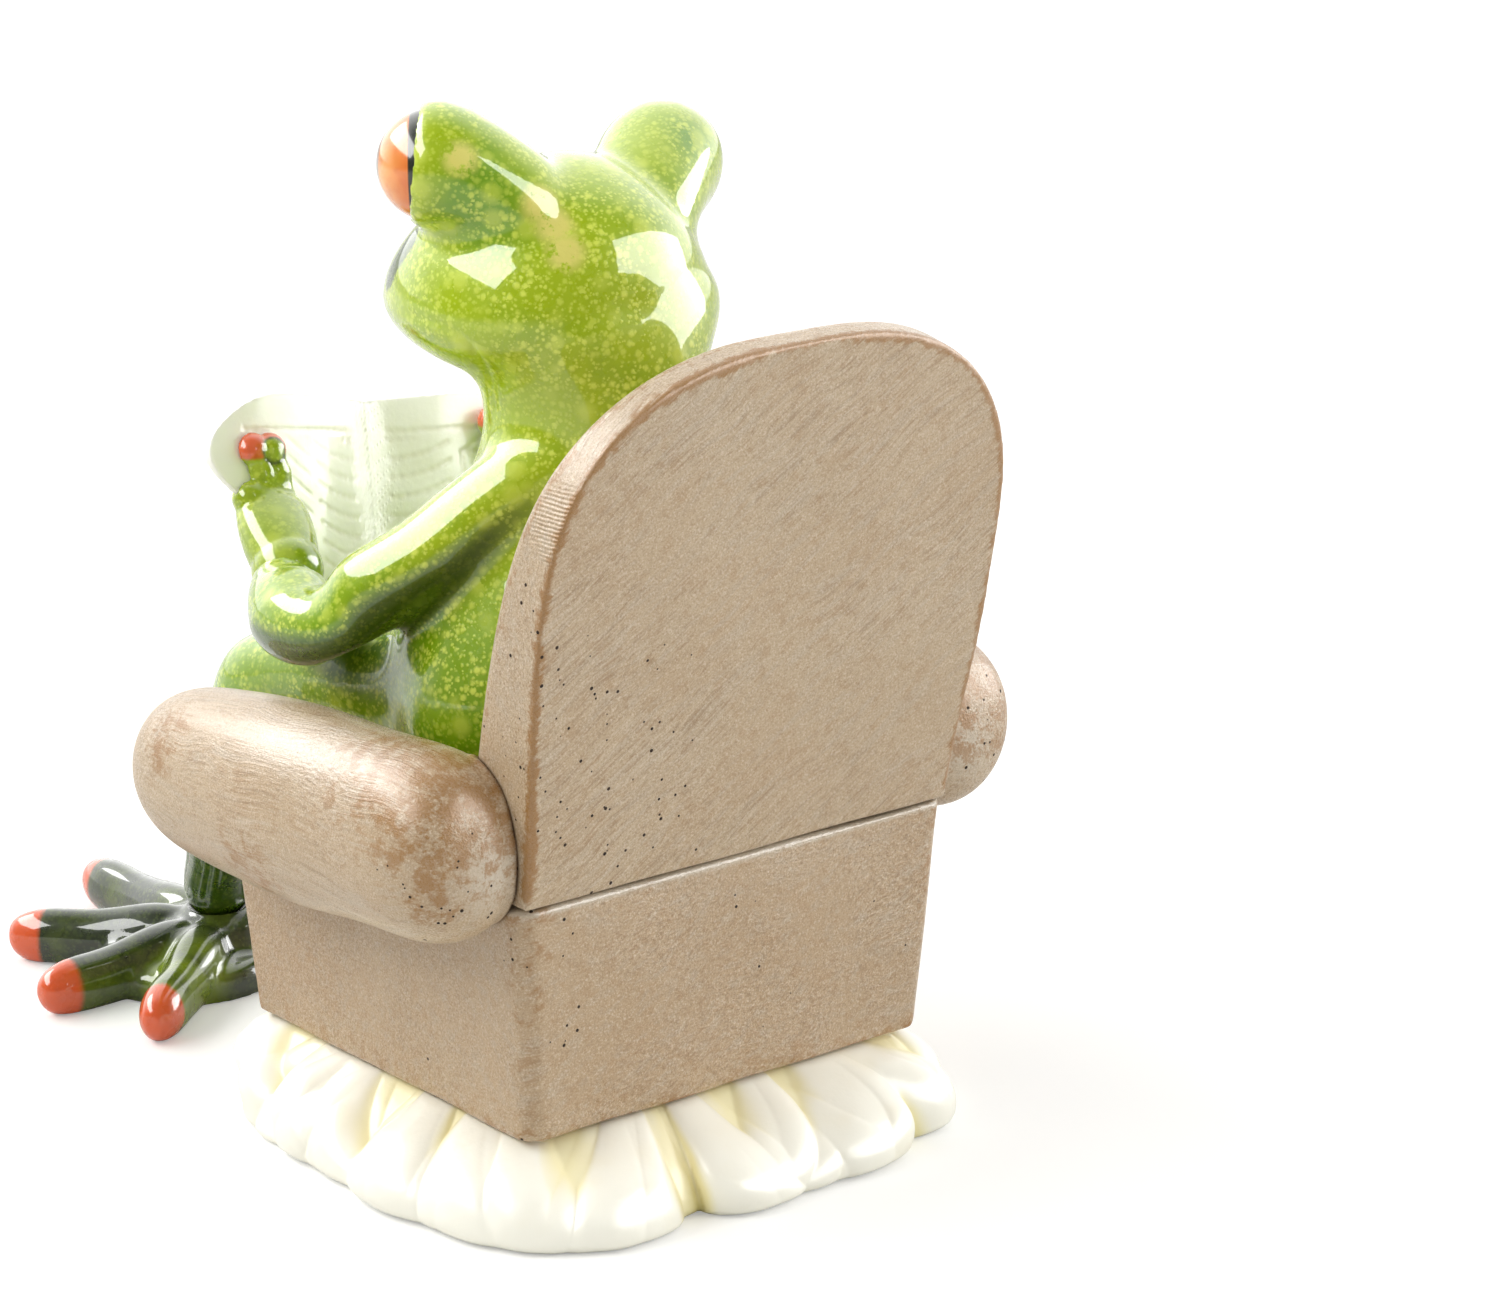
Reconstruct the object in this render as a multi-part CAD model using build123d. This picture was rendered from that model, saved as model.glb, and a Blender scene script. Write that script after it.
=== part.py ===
from build123d import *
from math import cos, pi, radians, sin
import os

# Frog figurine: a glazed tree frog that reads a newspaper in a padded armchair, cast in resin.
# Millimetres. +Z is up, the frog looks along -Y and its left side is +X.
# The origin is on the floor, under the middle of the chair's seat block.

# Chair block and the ruffled valance that it stands on
base_width = 66.4
base_depth = 64.4
base_flare = 2.4
base_height = 33.0
base_corner_flat = 2.1
base_corner_radius = 1.4
base_edge_radius = 0.9
base_seam_radius = 0.7
skirt_height = 12.0
skirt_inset = 0.8
skirt_left_flare = 10.4
skirt_right_flare = 6.4
skirt_rear_flare = 12.6
skirt_front_flare = 7.6
skirt_wave = 1.5
skirt_small_wave = 0.7

# Backrest: an arched slab that leans back and thins towards its top
back_height = 71.8
back_width = 75.0
back_foot_width = 70.0
back_shoulder = 38.0
back_foot_thickness = 16.0
back_top_thickness = 5.6
back_lean = 14.0
back_front_radius = 2.4
back_rear_radius = 0.7

# Rolled armrests
roll_length = 73.0
roll_width = 22.6
roll_height = 26.6
roll_rear = 34.4
roll_side = 41.0
roll_lift = 8.2
roll_drop = 4.6
roll_splay = 1.6

# Seat cushion
cushion_thickness = 8.0
cushion_overhang = 2.6
cushion_side_gap = 2.0
cushion_edge_radius = 2.6

# Frog: torso and neck
torso_height = 60.0
torso_width = 54.5
torso_depth = 47.0
torso_set_back = 1.0

# Frog: head
head_width = 42.0
head_length = 46.5
head_crown = 78.5
head_mouth = 57.6
head_chin = 47.0
head_set_back = 18.5
head_tilt = 7.0

# Frog: eyes in their raised lids
eye_radius = 7.3
eye_stand_out = 4.6
lid_radius = 8.7
lid_depth = 25.0
lid_drop = 11.0
eye_spread = 20.8
eye_height = 76.2
eye_forward = 7.7
eye_turn_out = 51.0

# Frog: arms, from the shoulder to the wrist
shoulder_side = 10.0
shoulder_height = 39.0
shoulder_back = 7.0
elbow_side = 31.0
elbow_height = 19.8
elbow_forward = 11.0
wrist_side = 24.0
wrist_height = 19.5
wrist_forward = 33.0
right_wrist_drop = 2.4
shoulder_radius = 6.6
elbow_radius = 5.9
wrist_radius = 4.3
elbow_bow = 1.5

# Newspaper
paper_thickness = 1.5
paper_height = 31.0
page_width = 30.0
page_foot_width = 19.0
gutter_dip = 8.0
paper_valley = 5.5
page_crown = 2.4
paper_recline = 19.0
paper_roll = 9.0
paper_forward = 47.5
paper_rise = 21.0

# Hands
hand_heel_radius = 4.9
palm_length = 9.0
palm_thickness = 3.7
palm_width = 5.2
finger_length = 7.6
finger_radius = 1.8
finger_pad_radius = 2.5
finger_pitch = 2.5
hand_side = 19.8
hand_lean = 7.0

# Legs, from the hip over the knee to the ankle
hip_side = 15.0
hip_height = 5.5
hip_forward = 6.0
knee_side = 22.0
knee_height = 1.5
knee_forward = 42.0
hip_radius = 9.5
knee_radius = 7.0
calf_radius = 6.2
ankle_radius = 5.2
ankle_side = 10.5
ankle_forward = 75.0
ankle_height = 13.0
thigh_rise = 2.4
shin_bow = 1.8

# Feet
toe_reach = 38.0
toe_root_width = 9.0
toe_root_height = 10.2
toe_tip_width = 7.0
toe_tip_height = 8.0
toe_sink = 0.8
instep_radius = 8.6
instep_height = 11.4
web_height = 5.0
web_radius = 13.2
web_shift = 5.0

# Patterns, shares and shape numbers
outline_points = 12
skirt_points = 132
skirt_pleats = 22
skirt_small_pleats = 14
skirt_drifts = 3
skirt_top_roundness = 8.0
skirt_rear_roundness = 4.2
skirt_front_roundness = 2.5
arch_points = 9
arch_roundness = 2.6
limb_sections = 7
finger_sections = 3
level_share = 0.1
upper_arm_share = 0.55
toe_turns = (-2.0, 43.0, 92.0, 130.0)
toe_reach_shares = (1.0, 0.83, 0.82, 0.86)
right_toe_turn = 16.0
finger_reach_shares = (0.2, 1.0, 0.9)
overrun = 40.0

seat_z = skirt_height + base_height
cushion_top = seat_z + cushion_thickness
base_half_width = base_width / 2
base_half_depth = base_depth / 2
seat_half_width = base_half_width + base_flare
seat_half_depth = base_half_depth + base_flare


def closed_face(plane, points):
    """Face inside a smooth closed curve through points given in the plane's own axes."""
    placed = [plane.from_local_coords(Vector(*p)) for p in points]
    return Face(Wire([Spline(*placed, periodic=True)]))


def egg_points(half_width, front, back):
    """Points round an egg: its width along X, its front along -Y and its back along +Y."""
    points = []
    for i in range(outline_points):
        turn = 2 * pi * i / outline_points
        reach = back if sin(turn) > 0 else front
        points.append((half_width * cos(turn), reach * sin(turn)))
    return points


def section_plane(centre, along):
    """Plane square to a direction, with its X axis kept level so that sections don't twist."""
    side = Vector(0, 0, 1).cross(along)
    if side.length < level_share * along.length:
        side = Vector(1, 0, 0)
    return Plane(origin=centre, x_dir=side, z_dir=along)


def limb(points, radii, sections=limb_sections):
    """A tapering limb round a smooth path, with a round cap at both ends."""
    path = Spline(*points)
    last = len(radii) - 1
    cap_shares = (0.9, 0.5)
    start = (path % 0).normalized()
    end = (path % 1).normalized()
    faces = []
    for share in cap_shares:
        plane = section_plane(path @ 0 - start * share * radii[0], start)
        faces.append(plane * Circle(radii[0] * (1 - share ** 2) ** 0.5))
    for i in range(sections):
        place = i / (sections - 1)
        span = min(int(place * last), last - 1)
        part = place * last - span
        radius = radii[span] * (1 - part) + radii[span + 1] * part
        faces.append(section_plane(path @ place, path % place) * Circle(radius))
    for share in reversed(cap_shares):
        plane = section_plane(path @ 1 + end * share * radii[-1], end)
        faces.append(plane * Circle(radii[-1] * (1 - share ** 2) ** 0.5))
    near = Vertex(*(path @ 0 - start * radii[0]))
    far = Vertex(*(path @ 1 + end * radii[-1]))
    return loft([near, *faces, far])


def mirrored(shape):
    """The same piece for the frog's right side."""
    return mirror(shape, about=Plane.YZ)


# Skirt: a gathered valance. Rounded rectangles with waves that fade towards the top.
def skirt_face(height_share, flare_share, wave_share):
    """One level outline of the valance, with its pleats."""
    points = []
    for i in range(skirt_points):
        turn = 2 * pi * i / skirt_points
        flare = skirt_left_flare if cos(turn) > 0 else skirt_right_flare
        half_x = base_half_width - skirt_inset + flare_share * (flare + skirt_inset)
        flare = skirt_rear_flare if sin(turn) > 0 else skirt_front_flare
        half_y = base_half_depth - skirt_inset + flare_share * (flare + skirt_inset)
        foot_roundness = skirt_rear_roundness if sin(turn) > 0 else skirt_front_roundness
        roundness = skirt_top_roundness + flare_share * (foot_roundness - skirt_top_roundness)
        size = (abs(cos(turn) / half_x) ** roundness
                + abs(sin(turn) / half_y) ** roundness) ** (-1 / roundness)
        pleat = skirt_wave * cos(skirt_pleats * turn + sin(skirt_drifts * turn))
        small = skirt_small_wave * sin(skirt_small_pleats * turn)
        size += wave_share * (pleat + small)
        points.append((size * cos(turn), size * sin(turn)))
    return closed_face(Plane.XY.offset(height_share * skirt_height), points)


def make_skirt():
    height_shares = (0.0, 0.3, 0.7, 1.0)
    flare_shares = (0.96, 1.0, 0.64, 0.0)
    wave_shares = (1.0, 0.95, 0.7, 0.1)
    return loft([skirt_face(*shares) for shares in zip(height_shares, flare_shares, wave_shares)])


# Seat block: tapers down to the skirt, its upright corners cut to a narrow flat.
def block_face(height, half_x, half_y):
    """Level outline of the block, with its four corners cut."""
    outline = chamfer(Rectangle(2 * half_x, 2 * half_y).vertices(), base_corner_flat)
    return Plane.XY.offset(height) * fillet(outline.vertices(), base_corner_radius)


def make_base():
    foot = block_face(skirt_height, base_half_width, base_half_depth)
    top = block_face(seat_z, seat_half_width, seat_half_depth)
    block = loft([foot, top])
    block = fillet(block.edges().group_by(Axis.Z)[0], base_edge_radius)
    return fillet(block.edges().group_by(Axis.Z)[-1], base_seam_radius)


# Backrest: the arch is drawn in its leaning rear plane, and a second plane trims the front.
def arch_face(plane):
    """Outline of the backrest, with a tail below the seat, in a plane whose Y axis runs up the slab."""
    half_foot = back_foot_width / 2
    half_top = back_width / 2
    crown = back_height - back_shoulder
    right = [(half_foot, -back_foot_thickness), (half_foot, 0)]
    for i in range(arch_points + 1):
        turn = pi / 2 * i / arch_points
        x = half_top * abs(cos(turn)) ** (2 / arch_roundness)
        y = back_shoulder + crown * abs(sin(turn)) ** (2 / arch_roundness)
        right.append((x, y))
    left = [(-x, y) for x, y in reversed(right[:-1])]
    over = Spline(*[plane.from_local_coords(Vector(*p)) for p in right + left],
                  tangents=[plane.y_dir, -plane.y_dir])
    return Face(Wire([over, Line(over @ 1, over @ 0)]))


def back_planes():
    """The slab's leaning rear plane and its front plane, both facing forward."""
    rear_y = seat_half_depth
    rear_up = Vector(0, back_lean, back_height)
    rear = Plane(origin=(0, rear_y, seat_z), x_dir=(1, 0, 0), z_dir=Vector(1, 0, 0).cross(rear_up))
    front_lean = back_lean + back_foot_thickness - back_top_thickness
    front_up = Vector(0, front_lean, back_height)
    front = Plane(origin=(0, rear_y - back_foot_thickness, seat_z), x_dir=(1, 0, 0),
                  z_dir=Vector(1, 0, 0).cross(front_up))
    return rear, front


def rim_edges(slab, plane):
    """Edges of the slab that lie in a plane, apart from the one along its bottom."""
    reach = level_share * back_rear_radius
    near = [e for e in slab.edges() if abs(plane.to_local_coords(e.center()).Z) < reach]
    lowest = min(plane.to_local_coords(e.center()).Y for e in near)
    return [e for e in near if plane.to_local_coords(e.center()).Y > lowest + back_rear_radius]


def make_backrest():
    rear, front = back_planes()
    slab = extrude(arch_face(rear), amount=back_foot_thickness + back_lean)
    slab = split(slab, bisect_by=front, keep=Keep.BOTTOM)
    slab = fillet(rim_edges(slab, front), back_front_radius)
    slab = fillet(rim_edges(slab, rear), back_rear_radius)
    return split(slab, bisect_by=Plane.XY.offset(seat_z), keep=Keep.TOP)


# Armrest: an oval bolster with a blunt rear end, which drops and opens a little towards its front.
def make_roll():
    section_shares = (
        # place from the rear end, size of the section
        (0.02, 0.54),
        (0.07, 0.84),
        (0.17, 0.97),
        (0.45, 1.00),
        (0.75, 0.94),
        (0.92, 0.74),
        (0.98, 0.45),
    )
    rear = Vector(roll_side - roll_splay / 2, roll_rear, seat_z + roll_lift)
    along = Vector(roll_splay, -roll_length, -roll_drop)
    faces = []
    for place_share, size_share in section_shares:
        plane = Plane(origin=rear + along * place_share, x_dir=(1, 0, 0), z_dir=along)
        faces.append(plane * Ellipse(size_share * roll_width / 2, size_share * roll_height / 2))
    return loft([Vertex(*rear), *faces, Vertex(*(rear + along))])


# Seat cushion: fills the seat between the rolls, and a little proud of the block's front.
def make_cushion():
    width = 2 * (seat_half_width - cushion_side_gap)
    front = -seat_half_depth - cushion_overhang
    rear = seat_half_depth
    centre = Pos(0, (front + rear) / 2, seat_z + cushion_thickness / 2)
    pad = centre * Box(width, rear - front, cushion_thickness)
    return fillet(pad.edges().filter_by(Axis.Z) + pad.edges().group_by(Axis.Z)[-1], cushion_edge_radius)


# Frog body: a pear-shaped torso and neck, a broad head, and a raised lid round each eye.
def make_torso():
    section_shares = (
        # height, half width, front and back
        (-0.06, 0.86, 0.90, 0.89),
        (0.06, 0.98, 1.04, 0.94),
        (0.19, 0.99, 1.04, 0.96),
        (0.36, 0.86, 0.88, 0.87),
        (0.53, 0.69, 0.66, 0.82),
        (0.68, 0.54, 0.48, 0.80),
        (0.80, 0.535, 0.43, 0.80),
        (0.90, 0.64, 0.40, 0.79),
        (1.02, 0.69, 0.38, 0.74),
        (1.15, 0.46, 0.26, 0.50),
    )
    faces = []
    for height_share, width_share, front_share, back_share in section_shares:
        plane = Plane((0, torso_set_back, cushion_top + height_share * torso_height))
        outline = egg_points(width_share * torso_width / 2, front_share * torso_depth / 2,
                             back_share * torso_depth / 2)
        faces.append(closed_face(plane, outline))
    return loft(faces)


def make_head():
    section_shares = (
        # place from the back, half width, top and bottom
        (0.03, 0.30, 0.52, 0.30),
        (0.13, 0.68, 0.80, 0.70),
        (0.29, 0.92, 0.97, 0.94),
        (0.47, 1.00, 1.00, 1.00),
        (0.66, 0.93, 0.82, 0.90),
        (0.82, 0.745, 0.54, 0.76),
        (0.94, 0.45, 0.27, 0.46),
    )
    mouth_z = cushion_top + head_mouth
    faces = []
    for place_share, width_share, top_share, bottom_share in section_shares:
        plane = Plane(origin=(0, head_set_back - place_share * head_length, mouth_z),
                      x_dir=(1, 0, 0), z_dir=(0, -1, 0))
        outline = egg_points(width_share * head_width / 2, bottom_share * (head_mouth - head_chin),
                             top_share * (head_crown - head_mouth))
        faces.append(closed_face(plane, outline))
    tail = Vertex(0, head_set_back, mouth_z)
    snout = Vertex(0, head_set_back - head_length, mouth_z)
    return loft([tail, *faces, snout])


def eye_plane():
    """Plane of the left eye's rim, facing out of the eye."""
    turn = radians(eye_turn_out)
    out = Vector(sin(turn), -cos(turn), 0)
    return Plane(origin=(eye_spread, -eye_forward, cushion_top + eye_height), x_dir=(0, 0, 1), z_dir=out)


def make_lid():
    """Raised lid behind the left eye's rim: it swells, then ramps down into the skull."""
    rim = eye_plane()
    section_shares = (
        # depth behind the rim, radius, drop below the eye's height
        (0.0, 0.85, 0.0),
        (0.05, 0.95, 0.0),
        (0.16, 1.0, 0.02),
        (0.38, 0.98, 0.17),
        (0.62, 0.96, 0.45),
        (0.84, 0.86, 0.78),
    )
    faces = []
    for depth_share, radius_share, drop_share in section_shares:
        centre = rim.origin - rim.z_dir * depth_share * lid_depth - Vector(0, 0, drop_share * lid_drop)
        section = Plane(origin=centre, x_dir=rim.x_dir, z_dir=-rim.z_dir)
        faces.append(section * Circle(radius_share * lid_radius))
    root = rim.origin - rim.z_dir * lid_depth - Vector(0, 0, lid_drop)
    return loft([*faces, Vertex(*root)])


def make_eye():
    rim = eye_plane()
    centre = rim.origin + rim.z_dir * (eye_stand_out - eye_radius)
    return Pos(centre) * Sphere(eye_radius)


def tilted(shape):
    """Tilts a piece of the head, so that the frog's left side rides up."""
    pivot = Vector(0, 0, cushion_top + (head_mouth + eye_height) / 2)
    return Pos(pivot) * Rot(0, -head_tilt, 0) * Pos(-pivot) * shape


# Newspaper: two arched pages that meet in a valley, reclined away from the frog.
def paper_plane(roll):
    """Plane across the pages: X to the frog's right, Y towards the reader, its normal down the page."""
    lean = radians(paper_recline)
    down = Vector(0, sin(lean), -cos(lean))
    level = Plane(origin=(0, -paper_forward, cushion_top + paper_rise), x_dir=(-1, 0, 0), z_dir=down)
    return level.rotated((0, roll, 0))


def page_rise(x):
    """Height of a page above the valley, towards the reader, at a distance from the fold."""
    share = abs(x) / page_width
    return paper_valley * share + page_crown * sin(pi * share)


def page_outline(side):
    """Outline of one page seen square on: it fans out towards its upper outer corner."""
    half = paper_height / 2
    edge_shares = ((0.12, 0.70), (0.30, 0.92), (0.55, 1.0), (0.80, 0.90), (1.0, 0.48), (0.88, 0.12))
    points = [(side * x * page_width, -y * half) for x, y in edge_shares]
    crown = Spline((0, gutter_dip - half), *points, (side * page_foot_width, half))
    low = Line(crown @ 1, (0, half))
    return Plane.XZ * Face(Wire([crown, low, Line((0, half), crown @ 0)]))


def make_newspaper():
    plane = paper_plane(-paper_roll)
    page_shares = (0.0, 0.12, 0.35, 0.65, 1.0)
    pages = []
    for side in (1, -1):
        near = [(side * s * page_width, page_rise(s * page_width)) for s in page_shares]
        far = [(x, y - paper_thickness) for x, y in near]
        near_edge = Spline(*near)
        far_edge = Spline(*far)
        face = Face(Wire([near_edge, Line(near[-1], far[-1]), far_edge, Line(far[0], near[0])]))
        page = extrude(face, amount=paper_height, both=True)
        outline = extrude(page_outline(side), amount=overrun, both=True)
        pages.append(page & outline)
    return plane.location * (pages[0] + pages[1])


# Arms and hands
def body_point(side, forward, height):
    """A point given from the middle of the seat cushion's top."""
    return Vector(side, -forward, cushion_top + height)


def wrist_point(side):
    """Wrist of the left arm (side 1) or of the right arm (side -1), which sits lower."""
    drop = right_wrist_drop * (1 - side) / 2
    return body_point(side * wrist_side, wrist_forward, wrist_height - drop)


def make_arm(side):
    shoulder = body_point(side * shoulder_side, -shoulder_back, shoulder_height)
    elbow = body_point(side * elbow_side, elbow_forward, elbow_height)
    upper = shoulder + (elbow - shoulder) * upper_arm_share
    upper += Vector(side * elbow_bow, elbow_bow, 0)
    return limb([shoulder, upper, elbow, wrist_point(side)],
                [shoulder_radius, elbow_radius, elbow_radius, wrist_radius])


def make_hand(side):
    """A hand that rises from the wrist to the page, with its outer finger curled short."""
    wrist = wrist_point(side)
    plane = paper_plane(side * hand_lean)
    up_page = -plane.z_dir
    across = plane.x_dir * side
    place = -side * hand_side
    start = plane.to_local_coords(wrist)
    stand = page_rise(hand_side) + finger_radius
    knuckle = plane.from_local_coords(Vector(place, stand, start.Z - palm_length))
    along = knuckle - wrist
    faces = []
    palm_shares = ((0.0, 0.82, 1.2), (0.5, 1.0, 1.1), (1.0, 0.9, 0.8))
    for place_share, width_share, depth_share in palm_shares:
        section = Plane(origin=wrist + along * place_share, x_dir=plane.x_dir, z_dir=along)
        faces.append(section * Ellipse(width_share * palm_width, depth_share * palm_thickness))
    pieces = [Pos(*wrist) * Sphere(hand_heel_radius)]
    middle = (len(finger_reach_shares) - 1) / 2
    for i, reach_share in enumerate(finger_reach_shares):
        step = (i - middle) * finger_pitch
        root = knuckle + across * step - up_page * finger_radius
        tip = knuckle + across * step + up_page * reach_share * finger_length
        radii = [finger_radius] * finger_sections
        pieces.append(limb([root, (root + tip) / 2, tip], radii, finger_sections))
        pieces.append(Pos(*tip) * Sphere(finger_pad_radius))
    return loft(faces) + pieces


# Legs and feet
def make_leg():
    hip = body_point(hip_side, hip_forward, hip_height)
    knee = body_point(knee_side, knee_forward, knee_height)
    ankle = Vector(ankle_side, -ankle_forward, ankle_height)
    thigh_middle = (hip + knee) / 2 + Vector(0, 0, thigh_rise)
    shin_middle = (knee + ankle) / 2 - Vector(0, shin_bow, 0)
    thigh = limb([hip, thigh_middle, knee], [hip_radius, (hip_radius + knee_radius) / 2, knee_radius])
    shin = limb([knee, shin_middle, ankle], [knee_radius, calf_radius, ankle_radius])
    return thigh + shin


def make_toe(reach):
    """A stout toe along -Y: its sections are ellipses that sink a little below the floor."""
    section_shares = (
        # place along the toe, size from root to tip, roundness of the end
        (0.0, 0.0, 1.0),
        (0.25, 0.3, 1.0),
        (0.50, 0.7, 1.0),
        (0.72, 0.95, 1.0),
        (0.87, 1.0, 0.95),
        (0.955, 1.0, 0.72),
    )
    faces = []
    for place_share, taper_share, end_share in section_shares:
        width = toe_root_width + taper_share * (toe_tip_width - toe_root_width)
        height = toe_root_height + taper_share * (toe_tip_height - toe_root_height) + toe_sink
        middle = height / 2 - toe_sink
        plane = Plane(origin=(0, -place_share * reach, middle), x_dir=(1, 0, 0), z_dir=(0, -1, 0))
        faces.append(plane * Ellipse(end_share * width / 2, end_share * height / 2))
    return loft([*faces, Vertex(0, -reach, toe_tip_height / 2)])


def make_foot(turn_out):
    """A splayed foot: an instep under the ankle and four stout toes that lie on the floor."""
    instep = Pos(0, 0, instep_height - instep_radius) * Sphere(instep_radius)
    web = Cylinder(web_radius, web_height, align=(Align.CENTER, Align.CENTER, Align.MIN))
    web = Pos(web_shift, 0, 0) * fillet(web.edges().group_by(Axis.Z)[-1], web_height / 2)
    foot = instep + web
    for turn, reach_share in zip(toe_turns, toe_reach_shares):
        foot = foot + Rot(0, 0, turn) * make_toe(reach_share * toe_reach)
    foot = split(foot, bisect_by=Plane.XY, keep=Keep.TOP)
    return Pos(ankle_side, -ankle_forward, 0) * Rot(0, 0, turn_out) * foot


def build():
    nodes = {}
    nodes["skirt"] = make_skirt()
    nodes["chair_base"] = make_base()
    nodes["backrest"] = make_backrest()
    roll = make_roll() - nodes["chair_base"] - nodes["backrest"]
    nodes["left_armrest"] = roll
    nodes["right_armrest"] = mirrored(roll)
    cushion = make_cushion() - nodes["backrest"] - roll - nodes["right_armrest"]
    nodes["seat_cushion"] = cushion

    lid = make_lid()
    eye = make_eye()
    torso = make_torso() - nodes["backrest"]
    nodes["left_eye"] = tilted(eye)
    nodes["right_eye"] = tilted(mirrored(eye))
    head = tilted(make_head() + [lid, mirrored(lid)]) - [nodes["left_eye"], nodes["right_eye"]]
    nodes["frog_body"] = split(torso + head, bisect_by=Plane.XY.offset(cushion_top), keep=Keep.TOP)

    leg = make_leg() - cushion
    nodes["left_leg"] = leg - torso
    nodes["right_leg"] = mirrored(leg) - torso
    nodes["left_foot"] = make_foot(0) - leg
    nodes["right_foot"] = mirrored(make_foot(right_toe_turn)) - mirrored(leg)

    paper = make_newspaper() - leg - mirrored(leg)
    nodes["newspaper"] = paper
    for name, side in (("left", 1), ("right", -1)):
        hand = make_hand(side) - paper
        nodes[f"{name}_arm"] = make_arm(side) - torso - hand
        nodes[f"{name}_hand"] = hand
    return nodes


os.makedirs("parts", exist_ok=True)
for name, shape in build().items():
    export_step(shape, f"parts/{name}.step")
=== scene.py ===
from math import cos, pi, radians, sin

import bmesh
import bpy
import numpy as np
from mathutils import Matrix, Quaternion, Vector, noise
from mathutils.bvhtree import BVHTree


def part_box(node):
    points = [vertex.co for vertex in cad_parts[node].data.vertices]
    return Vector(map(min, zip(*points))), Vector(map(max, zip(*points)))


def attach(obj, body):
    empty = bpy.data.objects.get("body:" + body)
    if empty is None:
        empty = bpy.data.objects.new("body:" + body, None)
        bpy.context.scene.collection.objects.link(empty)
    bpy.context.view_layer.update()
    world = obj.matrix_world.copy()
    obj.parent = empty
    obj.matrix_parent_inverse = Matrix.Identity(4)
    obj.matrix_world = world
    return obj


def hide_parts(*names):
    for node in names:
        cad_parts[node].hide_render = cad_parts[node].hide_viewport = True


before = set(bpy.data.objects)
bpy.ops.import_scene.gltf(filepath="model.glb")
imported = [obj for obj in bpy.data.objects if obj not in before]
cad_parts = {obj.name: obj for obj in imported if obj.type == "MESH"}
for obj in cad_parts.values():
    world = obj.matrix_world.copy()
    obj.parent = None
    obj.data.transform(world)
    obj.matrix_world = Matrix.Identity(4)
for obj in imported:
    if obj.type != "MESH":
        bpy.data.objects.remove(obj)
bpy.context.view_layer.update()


# Valance
# A gathered frill of ivory-glazed resin that the whole chair stands on. It is cast with the chair,
# and its rounded folds fan out from under the seat block to a scalloped hem on the floor.
valance_columns = 1500
valance_rows = 50
valance_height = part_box("skirt")[1].z
valance_inset = 0.0008
valance_flares = {"left": 0.0104, "right": 0.0064, "rear": 0.0126, "front": 0.0076}
valance_roundness = {"top": 8.0, "rear": 4.2, "front": 2.5}
valance_levels = (0.0, 0.3, 0.7, 1.0)
flare_levels = (0.96, 1.0, 0.64, 0.0)
fold_levels = (0.84, 1.0, 0.88, 0.34)
fold_count = 21
fold_depth = 0.0056
small_fold_count = 38
small_fold_depth = 0.0011
fold_seed = 11
small_fold_seed = 5
fold_middle = 0.69
small_fold_middle = 0.6
block_taper = 0.0024
hem_radius = 0.0014
hem_share = 0.12
crumple_depth = 0.0004
crumple_size = 0.006
ivory_sunlit = (254, 252, 238)
# The fold and crease colours are painted shade in the frill's valleys.
ivory_fold_shade = (248, 240, 192)
ivory_crease_shade = (212, 198, 120)
ivory_warm = (250, 240, 204)


def colour(red, green, blue):
    """The linear values that a shader takes for a colour given as seen, each part from 0 to 255."""
    shares = [part / 255 for part in (red, green, blue)]
    linear = [s / 12.92 if s <= 0.04045 else ((s + 0.055) / 1.055) ** 2.4 for s in shares]
    return (*linear, 1.0)


def add(tree, kind, feeds=None, **settings):
    """Adds a node. Feeds are its inputs, by name or number: a value, or a socket to link."""
    node = tree.nodes.new(kind)
    for key, value in settings.items():
        setattr(node, key, value)
    for key, value in (feeds or {}).items():
        if isinstance(value, bpy.types.NodeSocket):
            tree.links.new(value, node.inputs[key])
        else:
            node.inputs[key].default_value = value
    return node


def maths(tree, operation, first, second=0.0, clamp=False):
    """Output of a maths node."""
    node = add(tree, "ShaderNodeMath", {0: first, 1: second}, operation=operation, use_clamp=clamp)
    return node.outputs[0]


def ramp(tree, value, low, high, floor=0.0, ceiling=1.0):
    """A value eased from floor to ceiling as it goes from low to high."""
    feeds = {"Value": value, "From Min": low, "From Max": high, "To Min": floor, "To Max": ceiling}
    return add(tree, "ShaderNodeMapRange", feeds, interpolation_type="SMOOTHSTEP").outputs[0]


def mixed(tree, share, first, second):
    """Two colours mixed by a share. Each is a socket, or a colour as seen."""
    feeds = {0: share}
    for key, tint in ((6, first), (7, second)):
        feeds[key] = colour(*tint) if isinstance(tint, tuple) else tint
    return add(tree, "ShaderNodeMix", feeds, data_type="RGBA").outputs[2]


def attribute(tree, name):
    return add(tree, "ShaderNodeAttribute", attribute_name=name).outputs["Fac"]


def place(tree):
    return add(tree, "ShaderNodeTexCoord").outputs["Object"]


def cloud(tree, size, detail=3.0, roughness=0.55):
    """Soft noise about 0.5 with hills of a given size in metres."""
    feeds = {"Vector": place(tree), "Scale": 1 / size, "Detail": detail, "Roughness": roughness}
    return add(tree, "ShaderNodeTexNoise", feeds).outputs["Fac"]


def drifting(tree, size, low, high):
    """A value that drifts between two others over patches of a given size."""
    return ramp(tree, cloud(tree, size), 0.3, 0.7, low, high)


def finish_of(name, **constants):
    """A new material, its tree and its shader, with the shader's plain values set."""
    material = bpy.data.materials.new(name)
    material.use_nodes = True
    tree = material.node_tree
    shader = tree.nodes["Principled BSDF"]
    for key, value in constants.items():
        shader.inputs[key.replace("_", " ")].default_value = value
    return material, tree, shader


def feed(tree, shader, **values):
    """Links colours and values to the shader's own sockets."""
    for key, socket in values.items():
        tree.links.new(socket, shader.inputs[key.replace("_", " ")])


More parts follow.
